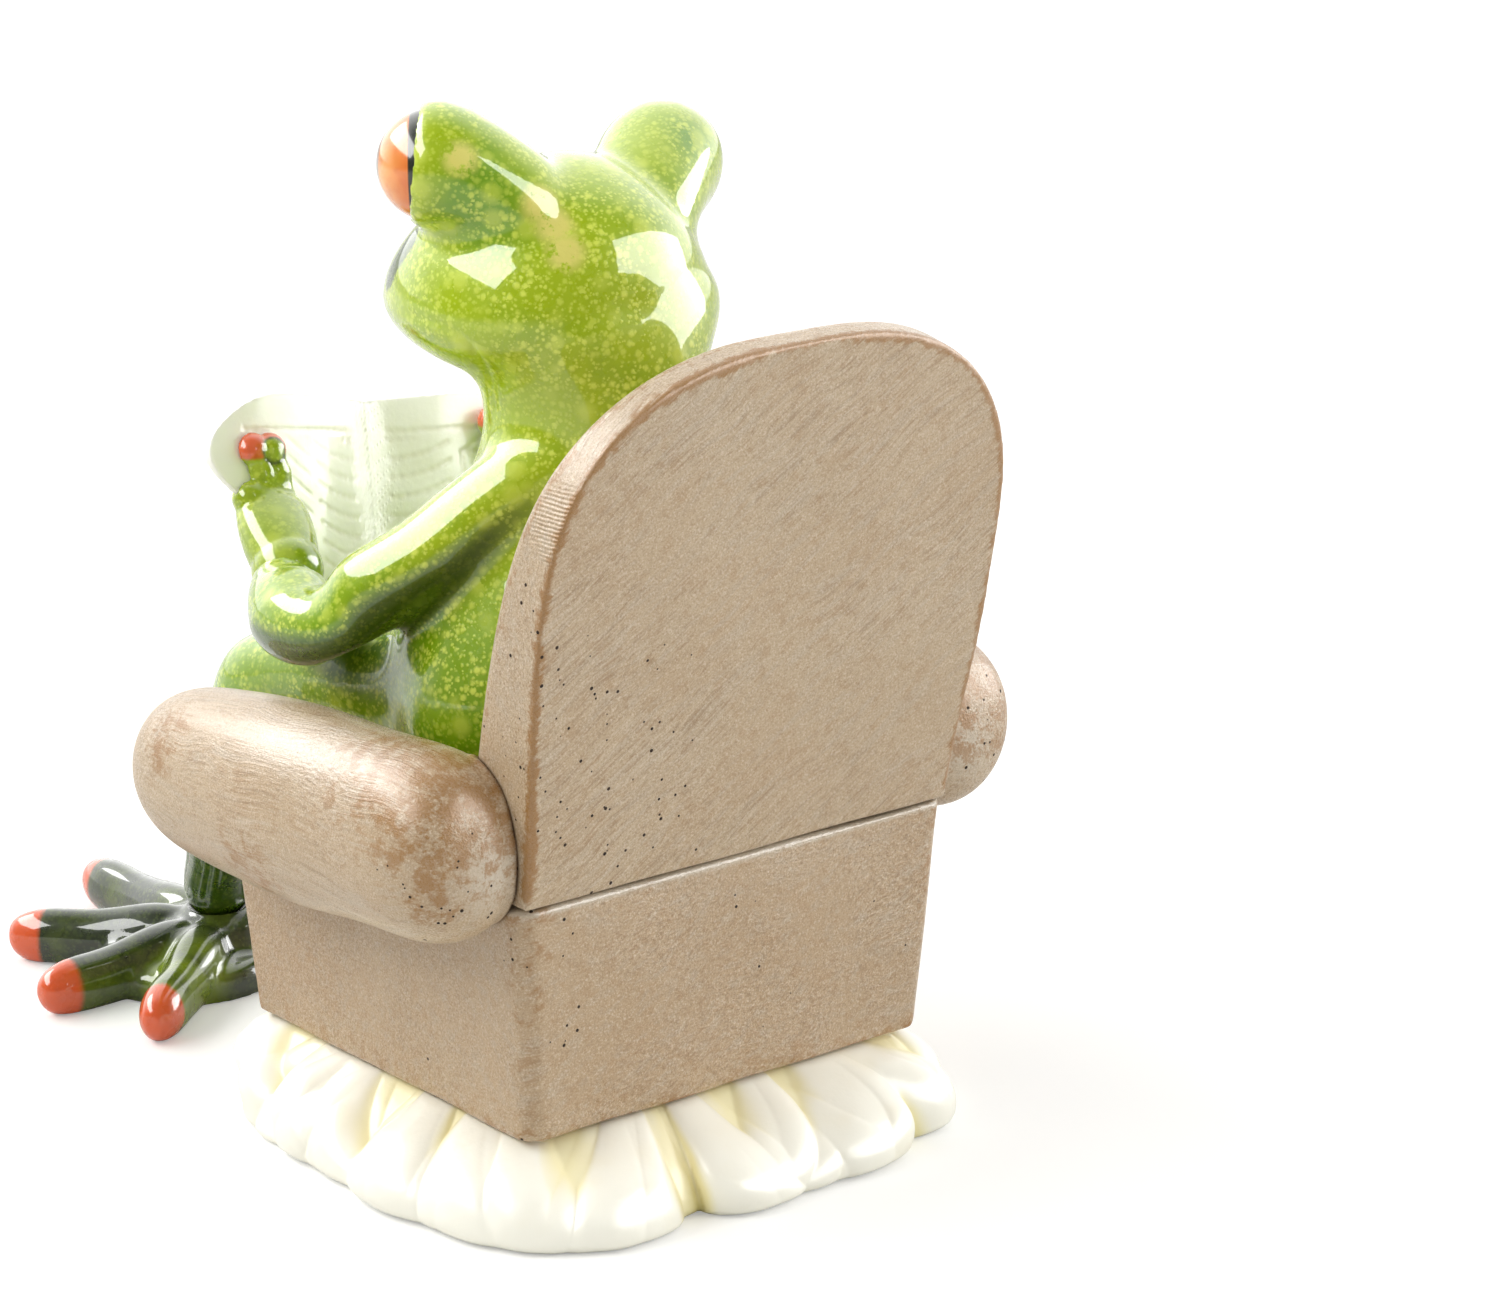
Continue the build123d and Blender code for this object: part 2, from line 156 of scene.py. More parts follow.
def relief(tree, height, depth, under=None):
    """Normal of a surface whose height, 0 to 1, stands for a depth in metres."""
    feeds = {"Height": height, "Distance": depth, "Strength": 1.0}
    if under:
        feeds["Normal"] = under
    return add(tree, "ShaderNodeBump", feeds).outputs["Normal"]


def new_object(name, data):
    """A new object in the scene, at the origin."""
    made = bpy.data.objects.new(name, data)
    bpy.context.scene.collection.objects.link(made)
    return made


def new_piece(name, vertices, faces):
    """An object at the origin with a mesh of its own."""
    mesh = bpy.data.meshes.new(name)
    mesh.from_pydata([tuple(v) for v in vertices], [], faces)
    mesh.update()
    return new_object(name, mesh)


def points_of(piece):
    points = np.empty(len(piece.data.vertices) * 3, np.float32)
    piece.data.vertices.foreach_get("co", points)
    return points.reshape(-1, 3).astype(float)


def normals_of(piece):
    normals = np.empty(len(piece.data.vertices) * 3, np.float32)
    piece.data.vertex_normals.foreach_get("vector", normals)
    return normals.reshape(-1, 3).astype(float)


def move_points(piece, points):
    piece.data.vertices.foreach_set("co", points.astype(np.float32).ravel())
    piece.data.update()


def edges_of(piece):
    edges = np.empty(len(piece.data.edges) * 2, np.int32)
    piece.data.edges.foreach_get("vertices", edges)
    return edges.reshape(-1, 2)


def averaged(values, edges, rounds=1):
    """Each value replaced by the mean of its neighbours', a number of times."""
    count = np.bincount(edges.ravel(), minlength=len(values)).clip(1)
    columns = values.reshape(len(values), -1).T.copy()
    for _ in range(rounds):
        for i, column in enumerate(columns):
            total = np.bincount(edges[:, 0], column[edges[:, 1]], len(column))
            total += np.bincount(edges[:, 1], column[edges[:, 0]], len(column))
            columns[i] = total / count
    return columns.T.reshape(values.shape)


def keep_value(piece, name, values):
    """Keeps one number for each point of a piece, for its material to read."""
    layer = piece.data.attributes.new(name, "FLOAT", "POINT")
    layer.data.foreach_set("value", values.astype(np.float32))


def fitted(piece, material, slot_name, *nodes):
    """Gives a finished piece its material and its place in the frame."""
    piece.data.polygons.foreach_set("use_smooth", [True] * len(piece.data.polygons))
    piece.data.materials.clear()
    piece.data.materials.append(material)
    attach(piece, "root")
    if nodes:
        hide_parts(*nodes)
    return piece


def fold_heights(along, share, count, seed):
    """Height, 0 to 1, of rounded folds that fan out downwards and meet in creases."""
    draw = np.random.default_rng(seed)
    pitch = 1 / count
    middles = (np.arange(count) + draw.uniform(-0.28, 0.28, count)) * pitch
    leans = draw.uniform(-1.1, 1.1, count) * pitch
    widths = draw.uniform(0.66, 0.98, count) * pitch
    tops = draw.uniform(0.65, 1.0, count)
    heights = np.zeros_like(along)
    for middle, lean, width, top in zip(middles, leans, widths, tops):
        gap = (along - middle - lean * (share - 0.4) + 0.5) % 1 - 0.5
        bump = top * (1 - (gap / (width * (1.05 - 0.62 * share))) ** 2).clip(0, 1) ** 0.6
        heights = np.maximum(heights, bump)
    return heights


def valance_ring(turn, along, share):
    """Points of the frill at one level, its share of the height going from the floor to the top."""
    block_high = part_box("chair_base")[1]
    flare = np.polyval(np.polyfit(valance_levels, flare_levels, 3), share)
    flare_x = np.where(np.cos(turn) > 0, valance_flares["left"], valance_flares["right"])
    flare_y = np.where(np.sin(turn) > 0, valance_flares["rear"], valance_flares["front"])
    foot_round = np.where(np.sin(turn) > 0, valance_roundness["rear"], valance_roundness["front"])
    half_x = block_high.x - block_taper - valance_inset + flare * (flare_x + valance_inset)
    half_y = block_high.y - block_taper - valance_inset + flare * (flare_y + valance_inset)
    roundness = valance_roundness["top"] + flare * (foot_round - valance_roundness["top"])
    size = (np.abs(np.cos(turn) / half_x) ** roundness
            + np.abs(np.sin(turn) / half_y) ** roundness) ** (-1 / roundness)
    folds = fold_depth * (fold_heights(along, share, fold_count, fold_seed) - fold_middle)
    small = fold_heights(along, share, small_fold_count, small_fold_seed) - small_fold_middle
    folds += small_fold_depth * small
    size += np.polyval(np.polyfit(valance_levels, fold_levels, 3), share) * folds
    size -= hem_radius * max(0.0, 1 - share / hem_share) ** 2
    return np.stack([size * np.cos(turn), size * np.sin(turn),
                     np.full(len(turn), share * valance_height)], 1)


def make_valance():
    """The frill as one closed skin, with a value for the painted shade in its valleys."""
    turn = np.linspace(0, 2 * pi, valance_columns, endpoint=False)
    outline = valance_ring(turn, np.zeros_like(turn), 0.3)[:, :2]
    steps = np.linalg.norm(outline - np.roll(outline, 1, 0), axis=1)
    along = np.cumsum(steps) / steps.sum()
    rings = [valance_ring(turn, along, share) for share in np.linspace(0, 1, valance_rows)]
    vertices = [*np.array(rings).reshape(-1, 3), (0.0, 0.0, 0.0), (0.0, 0.0, valance_height)]
    faces = []
    for row in range(valance_rows - 1):
        start = row * valance_columns
        for i in range(valance_columns):
            after = (i + 1) % valance_columns
            faces.append((start + i, start + after, start + valance_columns + after,
                          start + valance_columns + i))
    top = (valance_rows - 1) * valance_columns
    low_pole = len(vertices) - 2
    for i in range(valance_columns):
        after = (i + 1) % valance_columns
        faces.append((low_pole, after, i))
        faces.append((low_pole + 1, top + i, top + after))
    piece = new_piece("valance", vertices, faces)
    points = points_of(piece)
    crumple = np.array([noise.noise(Vector(p) / crumple_size) for p in points])
    free = np.sin(pi * (points[:, 2] / valance_height).clip(0, 1)) ** 0.5
    points += normals_of(piece) * (crumple * free * crumple_depth)[:, None]
    heights = points[:, 2].copy()
    points = 0.5 * points + 0.5 * averaged(points, edges_of(piece))
    points[:, 2] = heights.clip(0, valance_height)
    move_points(piece, points)
    valleys = []
    for share in np.linspace(0, 1, valance_rows):
        tall = 0.75 * fold_heights(along, share, fold_count, fold_seed)
        tall += 0.25 * fold_heights(along, share, small_fold_count, small_fold_seed)
        valleys.append(((0.56 - tall) / 0.5).clip(0, 1) * (1 - 0.5 * share))
    keep_value(piece, "hollow", np.append(np.array(valleys).ravel(), (0.0, 0.0)))
    return piece


valance_glaze, tree, shader = finish_of(
    "ivory_glaze", Coat_Weight=0.25, Coat_Roughness=0.1, IOR=1.45)
# Painted shade: the frill's valleys go yellow and darker.
stain_and_shade = maths(tree, "MULTIPLY", attribute(tree, "hollow"), drifting(tree, 0.006, 0.8, 1.0))
base = mixed(tree, ramp(tree, stain_and_shade, 0.05, 0.5), ivory_sunlit, ivory_fold_shade)
base = mixed(tree, ramp(tree, stain_and_shade, 0.5, 1.0), base, ivory_crease_shade)
warm = ramp(tree, cloud(tree, 0.012, detail=2.0), 0.5, 0.75, 0.0, 0.35)
base = mixed(tree, warm, base, ivory_warm)
feed(tree, shader, Base_Color=base, Roughness=drifting(tree, 0.004, 0.28, 0.45),
     Normal=relief(tree, cloud(tree, 0.0016, detail=4.0), 0.00006))

valance = make_valance()
fitted(valance, valance_glaze, "skirt_glaze", "skirt")


# Seat block
# The chair's plain lower box, cast in resin and brushed with taupe acrylic. It widens upwards from
# the frill, its corners are cut to a narrow flat, and the paint is rubbed through along its edges.
block_step = 0.0005
taupe = (187, 166, 136)
taupe_warm = (178, 150, 115)
taupe_grey = (180, 166, 146)
taupe_dark = (140, 114, 84)
taupe_glint = (224, 210, 188)
worn_brown = (148, 104, 46)
crease_shade_brown = (84, 56, 32)
pale_patch_and_highlight = (200, 190, 172)
sharp_bend = 110
foot_band_height = 0.005
top_band_height = 0.0014


def shaped_piece(name, shaped):
    """A piece made of an edited mesh, which is then freed."""
    mesh = bpy.data.meshes.new(name)
    shaped.to_mesh(mesh)
    shaped.free()
    return new_object(name, mesh)


def node_copy(name, *nodes):
    """One new piece made of the CAD nodes' meshes, with their loose triangles joined up."""
    joined = bmesh.new()
    for node in nodes:
        joined.from_mesh(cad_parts[node].data)
    bmesh.ops.remove_doubles(joined, verts=joined.verts, dist=0.000002)
    return shaped_piece(name, joined)


def applied(piece):
    """Turns a piece's modifiers into plain mesh."""
    graph = bpy.context.evaluated_depsgraph_get()
    mesh = bpy.data.meshes.new_from_object(piece.evaluated_get(graph))
    piece.modifiers.clear()
    spent = piece.data
    piece.data = mesh
    bpy.data.meshes.remove(spent)
    return piece


def recast(name, nodes, step, rounds):
    """A piece cast over the CAD nodes: one closed skin of even faces, its edges softened."""
    piece = node_copy(name, *nodes)
    skin = piece.modifiers.new("Skin", "REMESH")
    skin.mode = "VOXEL"
    skin.voxel_size = step
    applied(piece)
    edges = edges_of(piece)
    points = points_of(piece)
    for _ in range(rounds):
        points = 0.5 * points + 0.5 * averaged(points, edges)
    move_points(piece, points)
    return piece


def uneven(piece, size, depth, seed):
    """Hand-worked unevenness: low hills of a given size."""
    points = points_of(piece)
    shift = Vector((seed, 2 * seed, 3 * seed))
    hills = np.array([noise.noise(Vector(p) / size + shift) for p in points])
    hills -= hills.max()
    points += normals_of(piece) * (hills * depth)[:, None]
    move_points(piece, points)


def surface_of(mesh):
    """A mesh's surface, to measure to."""
    return BVHTree.FromPolygons([v.co for v in mesh.vertices],
                                [tuple(p.vertices) for p in mesh.polygons])


def touching(piece, reach, *nodes):
    """1 where a piece meets other CAD nodes, falling to 0 at a reach away."""
    gaps = np.full(len(piece.data.vertices), reach)
    for node in nodes:
        surface = surface_of(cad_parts[node].data)
        for i, vertex in enumerate(piece.data.vertices):
            gap = surface.find_nearest(vertex.co, reach)[3]
            if gap is not None:
                gaps[i] = min(gaps[i], gap)
    return 1 - gaps / reach


def new_group(name, kind, inputs, outputs):
    """A node group with its sockets, each named with its type, and its two end nodes."""
    tree = bpy.data.node_groups.new(name, kind)
    for way, sockets in (("INPUT", inputs), ("OUTPUT", outputs)):
        for label, socket in sockets.items():
            tree.interface.new_socket(label, in_out=way, socket_type=f"NodeSocket{socket}")
    return tree, tree.nodes.new("NodeGroupInput"), tree.nodes.new("NodeGroupOutput")


def shaken(tree, scale, detail, reach):
    """The place on the piece, moved a little by noise, so that what is drawn there bends."""
    point = place(tree)
    wander = add(tree, "ShaderNodeTexNoise", {"Vector": point, "Scale": scale, "Detail": detail})
    bent = add(tree, "ShaderNodeVectorMath", {0: wander.outputs["Color"], "Scale": reach},
               operation="SCALE")
    moved = add(tree, "ShaderNodeVectorMath", {0: point, 1: bent.outputs[0]}, operation="ADD")
    return moved.outputs[0]


def stroke_group():
    """Marks of a stiff brush: long thin ridges that bend a little from place to place."""
    tree, start, end = new_group("brush_strokes", "ShaderNodeTree",
                                 {"Length": "Float", "Width": "Float", "Turn": "Vector"},
                                 {"Height": "Float"})
    turned = add(tree, "ShaderNodeVectorRotate",
                 {"Vector": shaken(tree, 70.0, 1.0, 0.004), "Rotation": start.outputs["Turn"]},
                 rotation_type="EULER_XYZ")
    long_way = maths(tree, "DIVIDE", 1.0, start.outputs["Length"])
    thin_way = maths(tree, "DIVIDE", 1.0, start.outputs["Width"])
    scales = add(tree, "ShaderNodeCombineXYZ", {0: long_way, 1: thin_way, 2: thin_way})
    drawn = add(tree, "ShaderNodeVectorMath", {0: turned.outputs[0], 1: scales.outputs[0]},
                operation="MULTIPLY")
    hair = add(tree, "ShaderNodeTexNoise", {"Vector": drawn.outputs[0], "Scale": 1.0, "Detail": 3.0,
                                            "Roughness": 0.65})
    tree.links.new(hair.outputs["Fac"], end.inputs["Height"])
    return tree


def placed_group(tree, group, **inputs):
    """Puts a node group in a tree, with its inputs set."""
    node = add(tree, "ShaderNodeGroup", node_tree=group)
    for key, value in inputs.items():
        node.inputs[key].default_value = value
    return node


def paint_group():
    """Taupe acrylic over resin: brushed and pearly, rubbed brown on edges, with painted shade dark
    in creases.
    """
    tree, start, end = new_group(
        "taupe_acrylic", "ShaderNodeTree", {"Turn": "Vector", "Warmth": "Float"},
        {"Color": "Color", "Roughness": "Float", "Strokes": "Float", "Grain": "Float"})
    fine = placed_group(tree, brush_strokes, Length=0.012, Width=0.00042)
    broad = placed_group(tree, brush_strokes, Length=0.020, Width=0.0015)
    for strokes in (fine, broad):
        tree.links.new(start.outputs["Turn"], strokes.inputs["Turn"])
    faint = ramp(tree, cloud(tree, 0.018, detail=2.0), 0.32, 0.56)
    grain = cloud(tree, 0.00028, detail=2.0)
    flakes = cloud(tree, 0.00016, detail=0.0)
    warmth = maths(tree, "ADD", start.outputs["Warmth"],
                   ramp(tree, cloud(tree, 0.02, detail=3.0), 0.35, 0.7, -0.1, 0.3), clamp=True)
    base = mixed(tree, warmth, taupe, taupe_warm)
    base = mixed(tree, ramp(tree, broad.outputs[0], 0.45, 0.7, 0.0, 0.4), base, taupe_grey)
    streak = maths(tree, "MULTIPLY", ramp(tree, fine.outputs[0], 0.51, 0.66, 0.0, 0.5), faint)
    base = mixed(tree, streak, base, taupe_dark)
    glint = maths(tree, "MULTIPLY", ramp(tree, fine.outputs[0], 0.48, 0.34, 0.0, 0.22), faint)
    base = mixed(tree, glint, base, taupe_glint)
    base = mixed(tree, ramp(tree, grain, 0.50, 0.34, 0.0, 0.38), base, taupe_dark)
    base = mixed(tree, ramp(tree, grain, 0.54, 0.70, 0.0, 0.45), base, taupe_glint)
    rough_edge = maths(tree, "ADD", cloud(tree, 0.0022, detail=5.0, roughness=0.65),
                       maths(tree, "MULTIPLY", fine.outputs[0], 0.5))
    rough_edge = ramp(tree, rough_edge, 0.60, 0.90)
    # Pale paint, which along the seat block's top edge is a painted highlight.
    base = mixed(tree, maths(tree, "MULTIPLY", attribute(tree, "pale_patch_and_highlight"), 0.8), base, pale_patch_and_highlight)
    stain_and_shade = ramp(tree, maths(tree, "ADD", attribute(tree, "stain_and_shade"),
                             maths(tree, "MULTIPLY", rough_edge, 0.9)), 0.60, 1.50, 0.0, 0.8)
    base = mixed(tree, stain_and_shade, base, worn_brown)
    worn = ramp(tree, maths(tree, "ADD", attribute(tree, "wear"),
                            maths(tree, "MULTIPLY", rough_edge, 0.5)), 0.60, 1.10, 0.0, 0.85)
    base = mixed(tree, worn, base, worn_brown)
    # Painted shade: a dark brown line where pieces meet.
    crease = ramp(tree, attribute(tree, "crease"), 0.35, 0.95, 0.0, 0.9)
    base = mixed(tree, crease, base, crease_shade_brown)
    gloss = ramp(tree, flakes, 0.3, 0.7, 0.26, 0.50)
    gloss = maths(tree, "SUBTRACT", gloss, maths(tree, "MULTIPLY", attribute(tree, "polish"), 0.2))
    brushed = maths(tree, "MULTIPLY", fine.outputs[0], ramp(tree, faint, 0.0, 1.0, 0.3, 1.0))
    for name, socket in (("Color", base), ("Roughness", gloss), ("Strokes", brushed),
                         ("Grain", grain)):
        tree.links.new(socket, end.inputs[name])
    return tree


brush_strokes = stroke_group()
taupe_acrylic = paint_group()


def bends(piece, rounds):
    """How hollow the surface is at each point, in 1/m: below 0 on a ridge."""
    points = points_of(piece)
    edges = edges_of(piece)
    step = np.linalg.norm(points[edges[:, 0]] - points[edges[:, 1]], axis=1).mean()
    pull = averaged(points, edges) - points
    return averaged((pull * normals_of(piece)).sum(1) / step ** 2, edges, rounds)


def rubbed(piece):
    """How far a piece's edges are rubbed through: 1 on a sharp edge and 0 on the flat."""
    return averaged((-bends(piece, 1)).clip(0, None), edges_of(piece), 5) / sharp_bend


def chair_finish(name, turn, warmth, grain_depth, stroke_depth):
    """The chair's paint on one piece, its strokes turned the way that the piece was brushed."""
    material, tree, shader = finish_of(name, Coat_Weight=0.25, Coat_Roughness=0.2, IOR=1.5)
    paint = placed_group(tree, taupe_acrylic, Turn=turn, Warmth=warmth)
    under = relief(tree, paint.outputs["Grain"], grain_depth)
    gathers = add(tree, "ShaderNodeTexWave",
                  {"Vector": place(tree), "Scale": 620.0, "Distortion": 1.5}, bands_direction="Z")
    under = relief(tree, maths(tree, "MULTIPLY", gathers.outputs["Fac"], attribute(tree, "gather")),
                   0.00008, under)
    feed(tree, shader, Base_Color=paint.outputs["Color"], Roughness=paint.outputs["Roughness"],
         Normal=relief(tree, paint.outputs["Strokes"], stroke_depth, under))
    return material


block_paint = chair_finish("taupe_block", turn=(0.3, -0.5, 0.4), warmth=0.8, grain_depth=0.00003,
                           stroke_depth=0.0002)
block = recast("seat_block", ["chair_base"], block_step, 2)
uneven(block, 0.016, 0.0003, 3)
block_points = points_of(block)
block_low, block_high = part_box("chair_base")
foot_band = (1 - (block_points[:, 2] - block_low.z) / foot_band_height).clip(0, 1)
top_band = (1 - (block_high.z - block_points[:, 2]) / top_band_height).clip(0, 1)
corner = (np.abs(block_points[:, :2]).sum(1) - (block_high.x + block_high.y - 0.0062)) / 0.001
keep_value(block, "wear", (rubbed(block) * 0.5 * (1 - top_band)).clip(0, 1))
keep_value(block, "stain_and_shade", np.maximum(foot_band * 0.25, corner.clip(0, 1) * 0.26))
# Painted highlight: a pale line along the block's top edge at the seam.
keep_value(block, "pale_patch_and_highlight", (top_band * 1.6).clip(0, 1))
# Painted shade: a dark line where the block meets the rolls.
keep_value(block, "crease", touching(block, 0.0011, "left_armrest", "right_armrest"))
keep_value(block, "polish", (top_band * 1.6).clip(0, 1))
fitted(block, block_paint, "chair_paint", "chair_base")


# Backrest
# An arched slab that leans back from the seat block, cast with it along a fine seam. Its rear
# edge is sharp and rubbed brown, and the resin shows casting pinholes low on its left.
slab_step = 0.00045
pinhole_radii = (0.00010, 0.00028)
pinhole_brown = (52, 34, 20)
pinhole_black = (30, 20, 12)
gather_place = ((35.6, 43.4, 97.2), 6)
slab_pits = (((30, 41, 66), 22), ((36, 38, 60), 16), ((34, 40, 84), 9), ((18, 39, 55), 15))
slab_pit_density = 80000.0
block_pits = (((33, 33, 40), 7), ((26, 34, 26), 5), ((2, 33, 40), 4))
block_pit_density = 180000.0


def spots(points, *places):
    """1 in the middle of each place and 0 at its edge. A place is a centre and a radius, in mm."""
    total = np.zeros(len(points))
    for centre, radius in places:
        gap = np.linalg.norm(points * 1000 - np.array(centre), axis=1) / radius
        total = np.maximum(total, (1 - gap).clip(0, 1))
    return total


slab_paint = chair_finish("taupe_backrest", turn=(0.0, -0.62, 0.0), warmth=0.3,
                          grain_depth=0.00005, stroke_depth=0.00017)
slab = recast("backrest_slab", ["backrest"], slab_step, 2)
uneven(slab, 0.02, 0.0003, 8)
slab_points = points_of(slab)
slab_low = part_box("backrest")[0]
rear_side = (normals_of(slab)[:, 1] > -0.35).astype(float)
rear_side = averaged(rear_side, edges_of(slab), 4)
above_seam = ((slab_points[:, 2] - slab_low.z) / 0.002 - 0.3).clip(0, 1)
keep_value(slab, "wear", (rubbed(slab) * rear_side * above_seam).clip(0, 1))
# Painted shade: a dark line where the slab meets the rolls and the frog.
keep_value(slab, "crease", touching(slab, 0.0009, "left_armrest", "right_armrest", "frog_body"))
on_rim = (normals_of(slab)[:, 1] < 0.5).astype(float)
keep_value(slab, "gather", (spots(slab_points, gather_place) * 2).clip(0, 1) * on_rim)
fitted(slab, slab_paint, "chair_paint", "backrest")


def pinhole_tree():
    """Geometry nodes: small flat blisters strewn over a surface where its density value allows."""
    tree, start, end = new_group(
        "pinholes", "GeometryNodeTree",
        {"Geometry": "Geometry", "Density": "Float", "Smallest Radius": "Float",
         "Largest Radius": "Float", "Seed": "Int", "Material": "Material"},
        {"Geometry": "Geometry"})
    pitted = add(tree, "GeometryNodeInputNamedAttribute", {"Name": "pitted"}, data_type="FLOAT")
    density = maths(tree, "MULTIPLY", pitted.outputs["Attribute"], start.outputs["Density"])
    strewn = add(tree, "GeometryNodeDistributePointsOnFaces",
                 {"Mesh": start.outputs["Geometry"], "Density": density,
                  "Seed": start.outputs["Seed"]})
    blister = add(tree, "GeometryNodeMeshUVSphere", {"Segments": 10, "Rings": 5, "Radius": 1.0})
    flat = add(tree, "GeometryNodeTransform", {"Geometry": blister.outputs["Mesh"],
                                               "Scale": (1.0, 1.0, 0.12)})
    size = add(tree, "FunctionNodeRandomValue",
               {2: start.outputs["Smallest Radius"], 3: start.outputs["Largest Radius"],
                "Seed": start.outputs["Seed"]}, data_type="FLOAT")
    set_out = add(tree, "GeometryNodeInstanceOnPoints",
                  {"Points": strewn.outputs["Points"], "Instance": flat.outputs["Geometry"],
                   "Rotation": strewn.outputs["Rotation"], "Scale": size.outputs[1]})
    real = add(tree, "GeometryNodeRealizeInstances", {"Geometry": set_out.outputs["Instances"]})
    painted = add(tree, "GeometryNodeSetMaterial", {"Geometry": real.outputs["Geometry"],
                                                    "Material": start.outputs["Material"]})
    tree.links.new(painted.outputs["Geometry"], end.inputs["Geometry"])
    return tree


pinholes = pinhole_tree()
# Each pinhole is drawn as a dark blister on the surface: painted shade standing in for the hole.
pinhole_dark, tree, shader = finish_of("pinhole_dark", Specular_IOR_Level=0.2)
base = mixed(tree, ramp(tree, cloud(tree, 0.0004), 0.4, 0.6), pinhole_brown, pinhole_black)
feed(tree, shader, Base_Color=base, Roughness=drifting(tree, 0.0003, 0.6, 0.9))


def pit(piece, name, density, seed):
    """Casting pinholes in a finished piece, as a piece of their own."""
    pits = new_object(name, piece.data.copy())
    strewing = pits.modifiers.new("Pinholes", "NODES")
    strewing.node_group = pinholes
    values = {"Density": density, "Smallest Radius": pinhole_radii[0],
              "Largest Radius": pinhole_radii[1], "Seed": seed, "Material": pinhole_dark}
    for item in pinholes.interface.items_tree:
        if item.in_out == "INPUT" and item.name in values:
            strewing[item.identifier] = values[item.name]
    applied(pits)
    fitted(pits, pinhole_dark, "chair_paint")


slab_rear = normals_of(slab)[:, 1] > -0.2
keep_value(slab, "pitted", (spots(slab_points, *slab_pits) * 1.6).clip(0, 1) * slab_rear)
pit(slab, "backrest_pinholes", slab_pit_density, 4)
keep_value(block, "pitted", spots(block_points, *block_pits) + 0.02)
pit(block, "block_pinholes", block_pit_density, 9)


# Armrests
# Two oval bolsters of the same casting, which roll over the block's sides and butt against the
# slab. Their paint is satin, streaked along the roll and stained brown towards the rear end.
roll_step = 0.00045
roll_stains = (((42, 30, 60), 15), ((44, 20, 64), 12), ((50, -24, 57), 6), ((46, 30, 50), 6),
               ((47, -4, 46), 8))
roll_pale_patch = ((39, 33, 51), 7)
roll_polish = ((47, 8, 62), 22)
roll_pits = (((44, 33, 50), 11), ((49, 24, 51), 7))
roll_pit_density = 150000.0
roll_seat_depth = 0.0006

roll_paint = chair_finish("taupe_armrest", turn=(0.0, 0.15, 1.45), warmth=0.45,
                          grain_depth=0.00006, stroke_depth=0.00011)
for side, mirror in (("left", 1), ("right", -1)):
    node = f"{side}_armrest"
    roll = recast(f"{side}_arm_roll", [node], roll_step, 3)
    uneven(roll, 0.02, 0.0004, 12)
    seen = points_of(roll) * (mirror, 1, 1)
    keep_value(roll, "stain_and_shade", (spots(seen, *roll_stains) * 1.5).clip(0, 0.75))
    keep_value(roll, "pale_patch_and_highlight", spots(seen, roll_pale_patch))
    against = touching(roll, 0.0014, "backrest", "chair_base")
    # Painted shade: a dark line where the roll meets the slab and the block.
    keep_value(roll, "crease", against * 0.9)
    keep_value(roll, "polish", (spots(seen, roll_polish) * 1.6).clip(0, 1))
    move_points(roll, points_of(roll) + normals_of(roll) * (against * roll_seat_depth)[:, None])
    keep_value(roll, "pitted", spots(seen, *roll_pits))
    fitted(roll, roll_paint, "chair_paint", node)
    pit(roll, f"{side}_roll_pinholes", roll_pit_density, 6)


# Seat cushion
# The cushion is cast and painted like the rest of the chair. It fills the seat between the rolls,
# and only its front edge shows past the frog's thighs.
cushion_step = 0.0006
cushion = recast("seat_cushion_pad", ["seat_cushion"], cushion_step, 5)
uneven(cushion, 0.014, 0.0004, 5)
against = touching(cushion, 0.0015, "left_armrest", "right_armrest", "chair_base")
# Painted shade: a dark line where the cushion meets the rolls and the block.
keep_value(cushion, "crease", against)
fitted(cushion, block_paint, "chair_paint", "seat_cushion")


# Frog's skin
# Head, lids, torso and limbs are one smooth moulding under a thick lime glaze with pale speckles.
# The glaze pools dark green in the hollows, with painted shade added there; painted shade also
# darkens sheltered places, the arms' undersides, the snout and the lower body. It darkens to bottle
# green down the shins.
skin_step = 0.0006
head_tilt = radians(7.0)
head_pivot = np.array((0.0, 0.0, 119.9))
glaze_green = (162, 186, 0)
glaze_deep = (50, 78, 0)
glaze_leaf = (112, 156, 4)
speckle_pale = (220, 232, 90)
ochre = (222, 214, 110)
mouth_line = ((21.8, -16.0, 112.6), (22.1, -9.0, 112.2), (21.8, -2.6, 112.3), (21.5, 0.3, 112.2),
              (20.9, 2.7, 111.5), (19.8, 4.4, 110.0), (18.1, 4.6, 107.5), (15.6, 2.8, 103.8),
              (14.3, 1.7, 100.0))
mouth_width = 0.0006
mouth_depth = 0.0003
snout_shade_line = ((17.4, -11.6, 120.0), (18.3, -13.6, 118.0), (18.8, -15.0, 115.9))
snout_shade_width = 0.0027
armpits = (((12, 7, 93), 13), ((-12, 7, 93), 13))
lap_folds = (((24.0, -8, 64), 10), ((-24.0, -8, 64), 10))
lap_shade = (((24, -8, 64), 9), ((-24, -8, 64), 9))
elbows = (((28, -25, 76), 11), ((-28, -25, 74), 11))
elbow_bulges = (((27, -26, 75), 11), ((-27, -26, 73), 11))
elbow_swelling = 0.0016
ochre_marks = (((10.6, 10.6, 125.4), 3.4), ((11.4, 8.8, 127.8), 3.2), ((10.3, 12.4, 122.0), 3.2),
               ((19.5, 3.0, 134.0), 3))
leafy_lids = (((17, 4, 128), 9), ((-18, 2, 131), 5))


